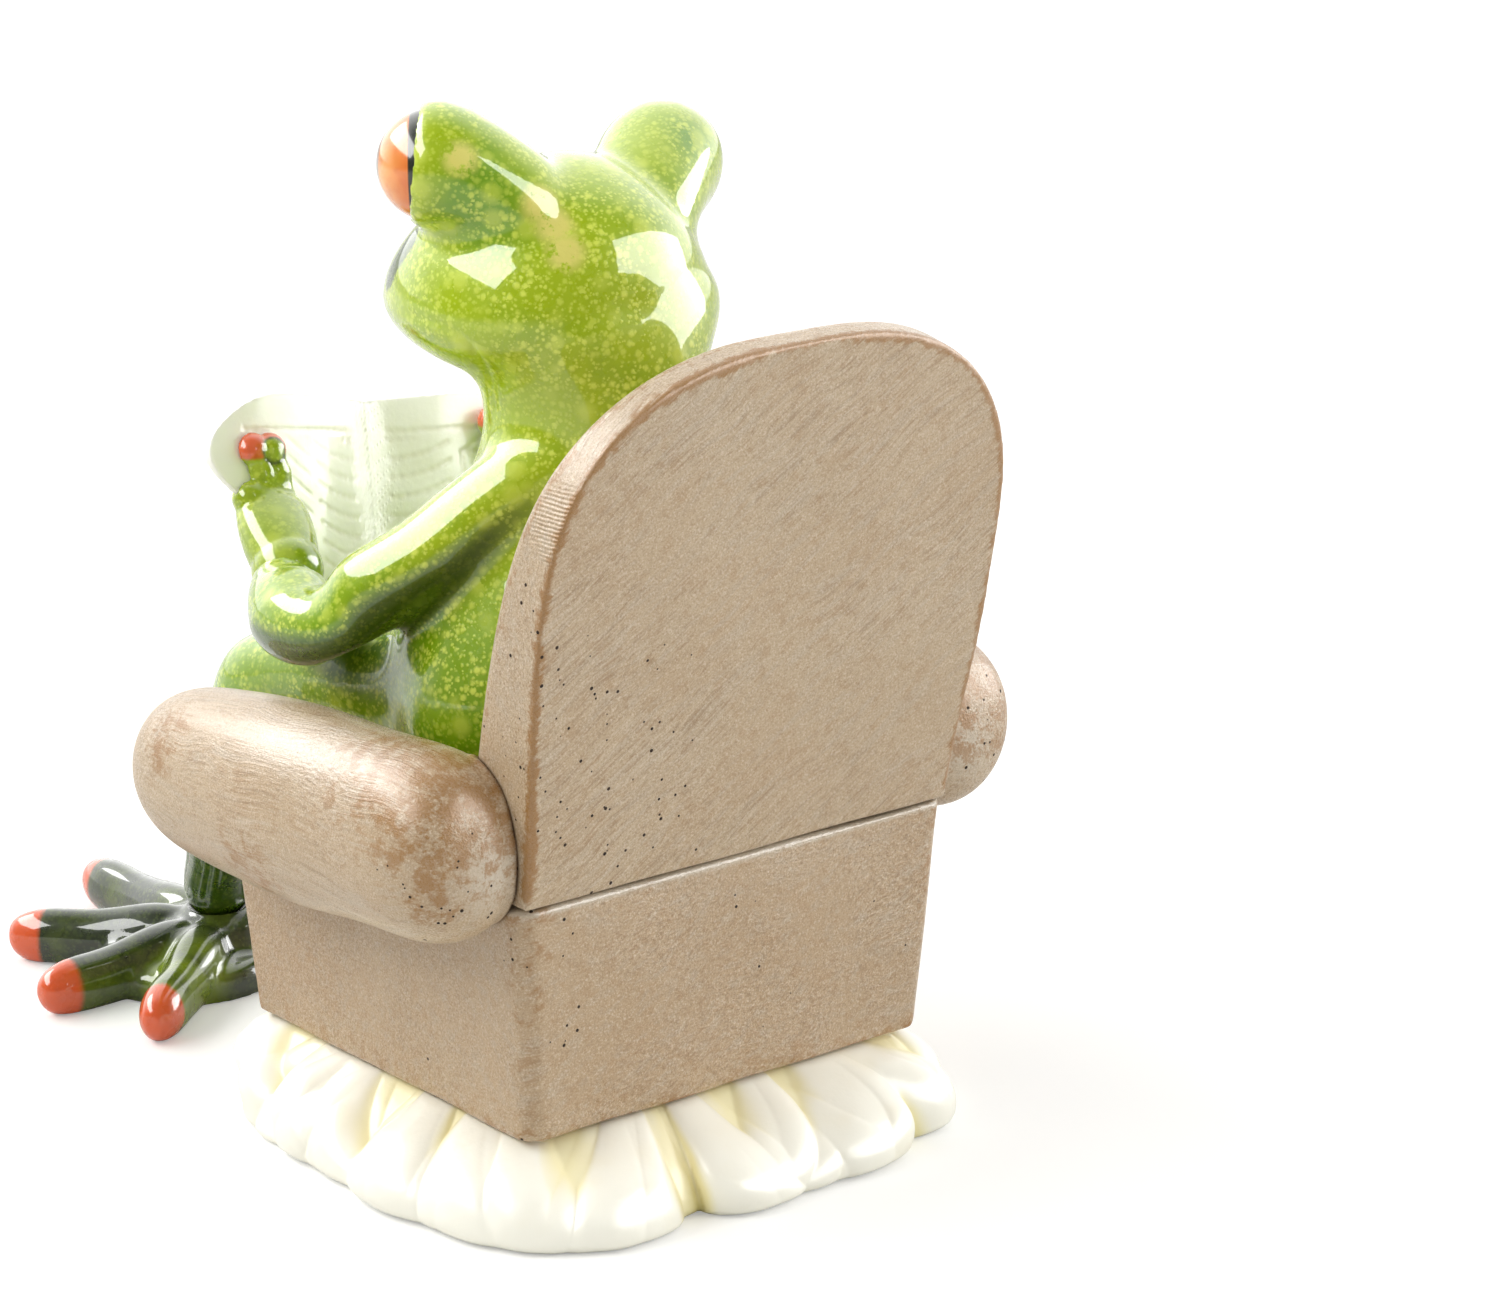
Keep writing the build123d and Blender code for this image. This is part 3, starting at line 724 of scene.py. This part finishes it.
def speckle_group():
    """Pale spots in the glaze, each a little round cloud of its own size."""
    tree, start, end = new_group("glaze_speckles", "ShaderNodeTree",
                                 {"Spacing": "Float", "Share": "Float"}, {"Mask": "Float"})
    scale = maths(tree, "DIVIDE", 1.0, start.outputs["Spacing"])
    cells = add(tree, "ShaderNodeTexVoronoi",
                {"Vector": shaken(tree, 2600.0, 2.0, 0.0004), "Scale": scale})
    lot = add(tree, "ShaderNodeSeparateColor", {0: cells.outputs["Color"]})
    chosen = maths(tree, "LESS_THAN", lot.outputs[0], start.outputs["Share"])
    reach = ramp(tree, lot.outputs[1], 0.0, 1.0, 0.28, 0.62)
    spot = add(tree, "ShaderNodeMapRange", {"Value": cells.outputs["Distance"], "From Min": reach,
                                            "From Max": maths(tree, "MULTIPLY", reach, 0.45)})
    mask = maths(tree, "MULTIPLY", spot.outputs[0], chosen)
    tree.links.new(mask, end.inputs["Mask"])
    return tree


def glaze_group():
    """Colour of the thick glaze: pooled glaze and painted shade deepen it in hollows and shelter,
    and it has three sizes of pale spots.
    """
    tree, start, end = new_group(
        "thick_glaze", "ShaderNodeTree",
        {"Main": "Color", "Leaf": "Color", "Deep": "Color", "Spots": "Color", "Strength": "Float"},
        {"Color": "Color", "Height": "Float"})
    drift = ramp(tree, cloud(tree, 0.011, detail=4.0), 0.46, 0.70, 0.0, 0.4)
    # Leaf green comes from random drift and from the 'leafy' value, which on the frog's lower body
    # is painted shade.
    leafy = maths(tree, "ADD", drift, attribute(tree, "leafy"), clamp=True)
    base = mixed(tree, leafy, start.outputs["Main"], start.outputs["Leaf"])
    tiny = placed_group(tree, glaze_speckles, Spacing=0.0006, Share=0.9)
    fine = placed_group(tree, glaze_speckles, Spacing=0.0011, Share=0.7)
    large = placed_group(tree, glaze_speckles, Spacing=0.0032, Share=0.45)
    thick = ramp(tree, cloud(tree, 0.008, detail=3.0), 0.35, 0.62, 0.45, 1.0)
    mask = maths(tree, "MULTIPLY", tiny.outputs[0], 0.75)
    mask = maths(tree, "MAXIMUM", mask, maths(tree, "MULTIPLY", fine.outputs[0], 0.85))
    mask = maths(tree, "MULTIPLY", mask, thick)
    mask = maths(tree, "MAXIMUM", mask, maths(tree, "MULTIPLY", large.outputs[0], 0.45))
    mask = maths(tree, "MULTIPLY", mask, start.outputs["Strength"])
    pooled_and_shaded = ramp(tree, attribute(tree, "hollow"), 0.1, 0.9, 0.0, 0.85)
    pooled_and_shaded = maths(tree, "MAXIMUM", pooled_and_shaded, attribute(tree, "shade"))
    base = mixed(tree, pooled_and_shaded, base, start.outputs["Deep"])
    mask = maths(tree, "MULTIPLY", mask, ramp(tree, pooled_and_shaded, 0.2, 0.9, 1.0, 0.12))
    base = mixed(tree, mask, base, start.outputs["Spots"])
    tree.links.new(base, end.inputs["Color"])
    tree.links.new(mask, end.inputs["Height"])
    return tree


glaze_speckles = speckle_group()
thick_glaze = glaze_group()


def glaze_finish(name, main, leaf, deep, spot_tint, strength, tip=None):
    """The thick glaze under its clear coat, with coloured tips where the piece has them."""
    material, tree, shader = finish_of(name, Coat_Weight=1.0, Coat_Roughness=0.025, Coat_IOR=1.6,
                                       Specular_IOR_Level=0.2)
    glaze = placed_group(tree, thick_glaze, Main=colour(*main), Leaf=colour(*leaf),
                         Deep=colour(*deep), Spots=colour(*spot_tint), Strength=strength)
    base = glaze.outputs["Color"]
    yellow = maths(tree, "MULTIPLY", attribute(tree, "ochre"),
                   ramp(tree, cloud(tree, 0.0020, detail=5.0, roughness=0.7), 0.36, 0.48))
    base = mixed(tree, yellow, base, ochre)
    if tip:
        base = mixed(tree, attribute(tree, "tip"), base, tip)
    under = relief(tree, cloud(tree, 0.005, detail=2.0), 0.00008)
    under = relief(tree, cloud(tree, 0.0009, detail=2.0), 0.00003, under)
    feed(tree, shader, Base_Color=base, Roughness=drifting(tree, 0.003, 0.22, 0.36),
         Normal=relief(tree, glaze.outputs["Height"], 0.00003, under))
    return material


def keep_pools_and_shade(piece, rounds, full):
    """Keeps how far glaze pools, with painted shade, at each point: 1 where the hollow bends as
    much as full, in 1/m.
    """
    keep_value(piece, "hollow", (bends(piece, rounds) / full).clip(0, 1))


def shelter(piece, reach, count, seed):
    """Share of the directions out of each point that the piece itself blocks within a reach."""
    surface = surface_of(piece.data)
    draw = np.random.default_rng(seed)
    spread = draw.normal(size=(count, 3))
    spread /= np.linalg.norm(spread, axis=1)[:, None]
    spread = [Vector(s) * 0.95 for s in spread]
    blocked = np.zeros(len(piece.data.vertices))
    for i, vertex in enumerate(piece.data.vertices):
        start = vertex.co + vertex.normal * 0.0003
        hits = 0
        for shift in spread:
            if surface.ray_cast(start, vertex.normal + shift, reach)[0] is not None:
                hits += 1
        blocked[i] = hits / count
    return averaged(blocked, edges_of(piece), 4)


def fill_hollows(piece, rounds, fullness, spread):
    """Lets the skin sink together in its creases, as a moulding's fillets do, and nowhere else."""
    edges = edges_of(piece)
    for _ in range(rounds):
        points = points_of(piece)
        weight = (averaged(bends(piece, 3).clip(0, None), edges, spread) / fullness).clip(0, 1)
        for _ in range(10):
            points += 0.6 * weight[:, None] * (averaged(points, edges) - points)
        move_points(piece, points)


def soften(piece, rounds, *places):
    """Blends the forms together round each place, a centre and a radius in mm."""
    edges = edges_of(piece)
    points = points_of(piece)
    weight = (spots(points, *places) * 2).clip(0, 1)[:, None]
    for _ in range(rounds):
        points += 0.7 * weight * (averaged(points, edges) - points)
    move_points(piece, points)


def swell(piece, depth, *places):
    """Pushes the surface out round each place, a centre and a radius in mm."""
    points = points_of(piece)
    weight = (spots(points, *places) * 1.5).clip(0, 1)
    weight = weight * weight * (3 - 2 * weight)
    move_points(piece, points + normals_of(piece) * (weight * depth)[:, None])


def across_head(line):
    """The same line on the other half of the tilted head."""
    turn_back = np.array(((cos(head_tilt), 0, sin(head_tilt)), (0, 1, 0),
                          (-sin(head_tilt), 0, cos(head_tilt))))
    level = (np.array(line) - head_pivot) @ turn_back.T
    return (level * (-1, 1, 1)) @ turn_back + head_pivot


def on_both_sides(points, line, width):
    """1 on a line and on the same line on the other half of the head."""
    return np.maximum(along_line(points, line, width), along_line(points, across_head(line), width))


def along_line(points, line, width):
    """1 on a line given in mm, falling off to each side of it."""
    gaps = np.full(len(points), np.inf)
    line = np.array(line) / 1000
    for first, last in zip(line[:-1], line[1:]):
        way = last - first
        share = ((points - first) @ way / (way @ way)).clip(0, 1)
        gaps = np.minimum(gaps, np.linalg.norm(points - first - share[:, None] * way, axis=1))
    return np.exp(-(gaps / width) ** 2)


skin_glaze = glaze_finish("lime_glaze", glaze_green, glaze_leaf, glaze_deep, speckle_pale, 1.0)
skin_nodes = ["frog_body", "left_arm", "right_arm", "left_leg", "right_leg"]
skin = recast("frog_skin", skin_nodes, skin_step, 4)
soften(skin, 42, *armpits)
soften(skin, 153, *lap_folds)
soften(skin, 62, *elbows)
swell(skin, elbow_swelling, *elbow_bulges)
fill_hollows(skin, rounds=5, fullness=60, spread=12)
uneven(skin, 0.013, 0.0003, 21)
skin_points = points_of(skin)
mouth = on_both_sides(skin_points, mouth_line, mouth_width)
skin_points -= normals_of(skin) * (mouth * mouth_depth)[:, None]
move_points(skin, skin_points)
keep_pools_and_shade(skin, 4, 420)
keep_value(skin, "ochre", spots(skin_points, *ochre_marks) * 1.8)
# Painted shade: the glaze is darkened where the skin shelters itself, on the snout's front, and
# along a band at each side of the snout.
covered = shelter(skin, 0.02, 10, 2)
snout_front = ((-skin_points[:, 1] - 0.021) / 0.004).clip(0, 1) * (skin_points[:, 2] > 0.108)
shins = ((0.047 - skin_points[:, 2]) / 0.028).clip(0, 1)
lap = (spots(skin_points, *lap_shade) * 2).clip(0, 1)
darkest = np.maximum(((covered - 0.36) / 0.45).clip(0, 0.8) * (1 - lap), snout_front * 0.85)
snout_shade = on_both_sides(skin_points, snout_shade_line, snout_shade_width)
darkest = np.maximum(darkest, ((snout_shade - 0.4) / 0.12).clip(0, 1))
# Painted shade under the arms, on their downward-facing sides.
arms = touching(skin, 0.0016, "left_arm", "right_arm") > 0.1
hanging = ((0.16 - normals_of(skin)[:, 2]) / 0.3).clip(0, 1) * (skin_points[:, 1] > -0.030)
hanging *= ((0.097 - skin_points[:, 2]) / 0.006).clip(0, 1)
under_arms = averaged(arms * hanging, edges_of(skin), 2)
keep_value(skin, "shade", np.maximum(np.maximum(darkest, under_arms * 0.95), shins))
# Painted shade: the lower body is turned leaf green, standing for the armrest's dark reflection;
# the lids get leaf green patches.
lower_body_shade = ((0.085 - skin_points[:, 2]) / 0.02).clip(0, 0.7)
keep_value(skin, "leafy", np.maximum(lower_body_shade, spots(skin_points, *leafy_lids) * 1.4))
fitted(skin, skin_glaze, "frog_glaze", *skin_nodes)


# Eyes
# Two orange glazed balls set into the lids, with a dark line round the lid's mouth and an upright
# black pupil, under the same clear coat as the skin.
eye_orange = (236, 128, 52)
eye_amber_sheen = (244, 176, 96)
eye_rust = (222, 104, 40)
lid_line = (30, 36, 16)
pupil_black = (14, 14, 12)
eye_turn = radians(51.0)
pupil_half_width = 0.30
pupil_half_height = 0.52
eye_rings = 64
eye_segments = 96


def make_eyeball(name, node):
    """A ball in the CAD eye's place, with values for its pupil and for the dark line at the lid."""
    low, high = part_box(node)
    centre = (low + high) / 2
    radius = (high.x - low.x) / 2
    shaped = bmesh.new()
    bmesh.ops.create_uvsphere(shaped, u_segments=eye_segments, v_segments=eye_rings, radius=radius)
    ball = shaped_piece(name, shaped)
    mirror = 1 if centre.x > 0 else -1
    look = Vector((mirror * sin(eye_turn), -cos(eye_turn), 0))
    points = points_of(ball)
    ahead = points @ np.array(look) / radius
    keep_value(ball, "ahead", ahead)
    across = points @ np.array(look.cross(Vector((0, 0, 1)))) / radius
    upward = points[:, 2] / radius
    pupil = (across / pupil_half_width) ** 2 + (upward / pupil_half_height) ** 2 < 1
    pupil &= ahead > 0
    keep_value(ball, "pupil", averaged(pupil.astype(float), edges_of(ball), 2))
    move_points(ball, points + np.array(centre))
    return ball


eye_glaze, tree, shader = finish_of("eye_glaze", Coat_Weight=1.0, Coat_Roughness=0.015,
                                    Coat_IOR=1.5)
ahead = attribute(tree, "ahead")
# Paler amber towards the front of the ball: a painted sheen for the ball's rim.
base = mixed(tree, ramp(tree, ahead, 0.35, 1.0), eye_orange, eye_amber_sheen)
base = mixed(tree, ramp(tree, cloud(tree, 0.0022), 0.4, 0.7, 0.0, 0.4), base, eye_rust)
base = mixed(tree, ramp(tree, ahead, 0.40, 0.37), base, lid_line)
base = mixed(tree, attribute(tree, "pupil"), base, pupil_black)
feed(tree, shader, Base_Color=base, Roughness=drifting(tree, 0.002, 0.15, 0.25))
for side in ("left", "right"):
    ball = make_eyeball(f"{side}_eyeball", f"{side}_eye")
    fitted(ball, eye_glaze, "eye_glaze", f"{side}_eye")


# Feet
# Long splayed feet in near-black green glaze, laid flat on the floor in front of the chair. The
# blunt toe tips are dipped in orange, with a crisp edge to the dip.
foot_step = 0.0004
toe_reach = 0.038
toe_turns = (-2.0, 43.0, 92.0, 130.0)
toe_reach_shares = (1.0, 0.83, 0.82, 0.86)
foot_turns = {"left": 0.0, "right": 16.0}
ankle_place = (0.0105, -0.075)
dip_length = 0.0052
toe_half_width = 0.006
foot_green = (40, 50, 24)
foot_olive = (122, 142, 24)
foot_deep = (18, 24, 12)
foot_speckle = (108, 124, 52)
dip_orange = (222, 92, 44)
olive_toe = (((33, -57, 2), 8), ((27, -62, 2), 8), ((21, -67, 3), 7))


def toe_dips(points, side):
    """1 on the dipped ends of the toes."""
    mirror = 1 if side == "left" else -1
    mask = np.zeros(len(points))
    for turn, share in zip(toe_turns, toe_reach_shares):
        angle = radians(turn + foot_turns[side])
        ahead = np.array([mirror * sin(angle), -cos(angle)])
        flat = points[:, :2] - np.array([mirror * ankle_place[0], ankle_place[1]])
        reach = flat @ ahead
        off = np.abs(flat @ np.array([ahead[1], -ahead[0]]))
        dipped = (reach > share * toe_reach - dip_length) & (off < toe_half_width)
        mask = np.maximum(mask, dipped.astype(float))
    return mask


foot_glaze = glaze_finish("foot_glaze", foot_green, foot_olive, foot_deep, foot_speckle, 0.4,
                          dip_orange)
for side, mirror in (("left", 1), ("right", -1)):
    node = f"{side}_foot"
    foot = recast(f"{side}_foot_skin", [node], foot_step, 4)
    fill_hollows(foot, rounds=3, fullness=160, spread=4)
    uneven(foot, 0.009, 0.0002, 41)
    keep_pools_and_shade(foot, 4, 600)
    foot_points = points_of(foot)
    foot_points[:, 2] = foot_points[:, 2].clip(0, None)
    move_points(foot, foot_points)
    keep_value(foot, "tip", averaged(toe_dips(foot_points, side), edges_of(foot), 1))
    seen = foot_points * (mirror, 1, 1)
    keep_value(foot, "leafy", (spots(seen, *olive_toe) * 2.4).clip(0, 1))
    fitted(foot, foot_glaze, "foot_glaze", node)


# Newspaper
# Two arched pages modelled as one thin shell of ivory resin, which leans on the thighs and is
# gripped at both edges. Ruled lines in soft brown stand for its print.
page_step = 0.0003
page_ivory = (255, 254, 246)
page_shadow = (246, 242, 226)
page_hollow_shade = (214, 204, 172)
rule_brown = (206, 198, 168)
notch_half_width = 14
notch_pull = 18
fold_half_width = 7
rule_spacing = 2.7
rule_depth = 0.00012
page_origin = np.array((0.0, -0.0475, 0.0755))
page_across = np.array((-0.987688, 0.0, -0.156434))
page_down = np.array((0.147912, 0.325568, -0.933878))
page_out = np.array((-0.05093, 0.945519, 0.32156))

page_paint, tree, shader = finish_of("page_paint", Coat_Weight=0.4, Coat_Roughness=0.12, IOR=1.5)
stain_and_shade = ramp(tree, cloud(tree, 0.010, detail=5.0), 0.45, 0.75, 0.0, 0.4)
base = mixed(tree, stain_and_shade, page_ivory, page_shadow)
# Painted shade: darker in the pages' hollows.
base = mixed(tree, maths(tree, "MULTIPLY", attribute(tree, "hollow"), 0.4), base, page_hollow_shade)
base = mixed(tree, maths(tree, "MULTIPLY", attribute(tree, "print"), 0.3), base, rule_brown)
feed(tree, shader, Base_Color=base, Roughness=drifting(tree, 0.004, 0.3, 0.5),
     Normal=relief(tree, cloud(tree, 0.0018, detail=4.0), 0.00006))


def page_print(points):
    """1 in the pages' ruled grooves: columns of lines, a heading and the frame of a picture."""
    flat = points - page_origin
    across = flat @ page_across * 1000
    down = flat @ page_down * 1000
    half = np.abs(across)
    bow = 0.02 * across ** 2 - 0.9 * np.sin(half / 6)
    lines = np.abs(((down + bow) / rule_spacing) % 1 - 0.5) > 0.42
    lines &= (down > -8) & (down < 13.5)
    columns = ((half > 2.5) & (half < 11.5)) | ((half > 13.0) & (half < 24.0))
    picture = (across > 13.0) & (across < 23.0) & (down > -6.0) & (down < 2.0)
    inside = (across > 13.6) & (across < 22.4) & (down > -5.4) & (down < 1.4)
    heading = (down < -9.0) & (down > -12.0)
    mask = (lines & columns & ~picture & ~heading) | (picture & ~inside)
    mask |= (np.abs(down + 9.0) < 0.25) & (half > 2.5) & (half < 24.0)
    return mask.astype(float)


pages = recast("newspaper_pages", ["newspaper"], page_step, 3)
uneven(pages, 0.008, 0.00025, 51)
page_points = points_of(pages)
across = (page_points - page_origin) @ page_across * 1000
down = (page_points - page_origin) @ page_down * 1000
columns = np.round((across + 40) * 2).astype(int)

# The notch between the two pages' top edges is drawn up level.
top_edge = np.full(columns.max() + 1, 0.0)
np.minimum.at(top_edge, columns, down)
lift = (top_edge[columns] - top_edge.min()).clip(0, None) * (np.abs(across) < notch_half_width)
lift = averaged(lift, edges_of(pages), 12)
lift *= (1 - (down - top_edge[columns]) / notch_pull).clip(0, 1)
page_points -= np.outer(lift / 1000, page_down)

# The fold is rounded: the pages' arch is evened out along them, near the fold only.
out = (page_points - page_origin) @ page_out
arch = np.bincount(columns, out) / np.bincount(columns).clip(1)
reach = np.arange(-16, 17)
weights = np.exp(-(reach / 8) ** 2)
gentle = np.convolve(np.pad(arch, 16, mode="edge"), weights / weights.sum(), mode="valid")
near_fold = np.exp(-(across / fold_half_width) ** 2)
page_points += np.outer((gentle[columns] - arch[columns]) * near_fold, page_out)
move_points(pages, page_points)
printed = averaged(page_print(page_points), edges_of(pages), 1)
facing = np.abs(normals_of(pages) @ page_out) > 0.6
page_points -= normals_of(pages) * (printed * facing * rule_depth)[:, None]
move_points(pages, page_points)
keep_value(pages, "print", printed * facing)
keep_pools_and_shade(pages, 3, 900)
fitted(pages, page_paint, "paper_glaze", "newspaper")


# Hands
# Small hands that grip the paper's edges from both sides, cast with the arms. Their glaze is
# darker than the arms', and the round finger pads are tipped with orange.
hand_step = 0.00022
finger_pads = {"left": ((21.3, -44.2, 86.6), (18.7, -44.0, 86.2)),
               "right": ((-21.1, -43.5, 84.5), (-18.5, -43.2, 84.1))}
pad_fronts = {"left": (19.3, -42.0, 86.8), "right": (-19.1, -41.3, 84.7)}
outer_pad_radius = 3.6
inner_pad_radius = 3.4
ring_radius = 1.9
ring_half_width = 0.28
hand_green = (150, 172, 22)
hand_leaf = (104, 140, 22)
hand_deep = (34, 50, 12)
pad_orange = (228, 100, 56)
hand_glaze = glaze_finish("hand_glaze", hand_green, hand_leaf, hand_deep, speckle_pale, 0.6,
                          pad_orange)
for side in ("left", "right"):
    node = f"{side}_hand"
    hand = recast(f"{side}_hand_skin", [node], hand_step, 4)
    outer_pad, inner_pad = finger_pads[side]
    stalks = np.array(inner_pad) + (0.8 if side == "left" else -0.8, 1.0, -3.6)
    swell(hand, 0.0006, (stalks, 4.2))
    soften(hand, 200, (stalks + (0, 0, -3.0), 4.6))
    keep_pools_and_shade(hand, 4, 1400)
    hand_points = points_of(hand)
    pads = spots(hand_points, (outer_pad, outer_pad_radius), (inner_pad, inner_pad_radius)) > 0.12
    from_front = np.linalg.norm(hand_points * 1000 - np.array(pad_fronts[side]), axis=1)
    tip = pads & (hand_points[:, 2] > outer_pad[2] / 1000 - 0.0008) & (from_front > 2.0)
    keep_value(hand, "tip", averaged(tip.astype(float), edges_of(hand), 1))
    ring = (np.abs(from_front - ring_radius) < ring_half_width) & pads
    keep_value(hand, "shade", averaged(ring.astype(float), edges_of(hand), 2) * 0.9)
    fitted(hand, hand_glaze, "hand_glaze", node)


# Studio
# A plain pale floor that runs on as the backdrop, soft window light from both sides and from above,
# and the camera at the photograph's viewing angle.
floor_half = 6.0
floor_gap = 0.00002
floor_white = (228, 228, 226)
floor_glow = 0.3
corner_signs = ((-1, -1), (1, -1), (1, 1), (-1, 1))
floor_corners = [(x * floor_half, y * floor_half, -floor_gap) for x, y in corner_signs]
floor = new_piece("studio_floor", floor_corners, [(0, 1, 2, 3)])
floor_paint, tree, shader = finish_of("floor_white", Base_Color=colour(*floor_white), Roughness=0.9,
                                      Specular_IOR_Level=0.1)
rays = add(tree, "ShaderNodeLightPath")
glow = add(tree, "ShaderNodeEmission", {"Color": (1, 1, 1, 1)})
seen_glow = maths(tree, "MULTIPLY", rays.outputs["Is Camera Ray"], floor_glow)
tree.links.new(seen_glow, glow.inputs["Strength"])
both = add(tree, "ShaderNodeAddShader", {0: shader.outputs[0], 1: glow.outputs[0]})
tree.links.new(both.outputs[0], tree.nodes["Material Output"].inputs["Surface"])
floor.data.materials.append(floor_paint)

window_side = (-0.628, -0.778, 0.0)
window_aim = (0.0, 0.0, 0.09)
window_distance = 1.2
lamp_setback = 0.02
backdrop_level = 0.975
world = bpy.data.worlds.new("studio")
bpy.context.scene.world = world
world.use_nodes = True
tree = world.node_tree
way = add(tree, "ShaderNodeTexCoord").outputs["Generated"]
towards = add(tree, "ShaderNodeVectorMath", {0: way, 1: window_side}, operation="DOT_PRODUCT")
upward = add(tree, "ShaderNodeSeparateXYZ", {0: way}).outputs[2]
level = maths(tree, "MAXIMUM", ramp(tree, towards.outputs["Value"], -0.2, 0.8, 0.28, 1.0),
              ramp(tree, upward, 0.45, 0.95, 0.28, 0.7))
mirrored = ramp(tree, towards.outputs["Value"], -0.25, 0.6, 0.2, 2.0)
rays = add(tree, "ShaderNodeLightPath")
level = add(tree, "ShaderNodeMix", {0: rays.outputs["Is Glossy Ray"], 2: level, 3: mirrored},
            data_type="FLOAT").outputs[0]
seen = maths(tree, "MAXIMUM", rays.outputs["Is Camera Ray"], rays.outputs["Is Transmission Ray"])
level = add(tree, "ShaderNodeMix", {0: seen, 2: level, 3: backdrop_level}, data_type="FLOAT")
tree.links.new(level.outputs[0], tree.nodes["Background"].inputs["Strength"])
tree.nodes["Background"].inputs["Color"].default_value = (1, 1, 1, 1)


def softbox(name, azimuth, elevation, roll, width, height, light, gleam):
    """A window light on the figurine: a soft lamp, and the brighter pane that glazes mirror."""
    turn = radians(azimuth)
    rise = radians(elevation)
    out = Vector((sin(turn) * cos(rise), cos(turn) * cos(rise), sin(rise)))
    for part, power, back in (("lamp", light, lamp_setback), ("pane", gleam, 0.0)):
        lamp = bpy.data.lights.new(f"{name}_{part}", "AREA")
        lamp.shape = "RECTANGLE"
        lamp.size = width
        lamp.size_y = height
        lamp.energy = power
        holder = new_object(f"{name}_{part}", lamp)
        holder.location = Vector(window_aim) + out * (window_distance + back)
        holder.rotation_mode = "QUATERNION"
        tilt = Quaternion((0, 0, 1), radians(roll))
        holder.rotation_quaternion = out.to_track_quat("Z", "Y") @ tilt
        holder.visible_glossy = part == "pane"
        holder.visible_diffuse = part == "lamp"


softbox("window_right", azimuth=-47.0, elevation=19.0, roll=-25.0, width=2.4, height=0.95,
        light=12.0, gleam=52.0)
softbox("window_left", azimuth=128.0, elevation=40.0, roll=0.0, width=2.0, height=0.55,
        light=16.0, gleam=29.0)

camera_place = (0.379178, 0.505975, 0.259872)
camera_azimuth = radians(38.91)
camera_elevation = radians(17.142)
camera_roll = radians(-0.372)
picture_width = 1500
focal_pixels = 4973.1
camera = bpy.data.cameras.new("camera")
camera.sensor_width = 36.0
camera.lens = focal_pixels * camera.sensor_width / picture_width
camera.clip_start = 0.01
viewer = new_object("camera", camera)
level_way = cos(camera_elevation)
behind = Vector((sin(camera_azimuth) * level_way, cos(camera_azimuth) * level_way,
                 sin(camera_elevation)))
viewer.location = camera_place
viewer.rotation_mode = "QUATERNION"
viewer.rotation_quaternion = behind.to_track_quat("Z", "Y") @ Quaternion((0, 0, 1), camera_roll)
bpy.context.scene.camera = viewer
bpy.context.scene.view_settings.view_transform = "Standard"
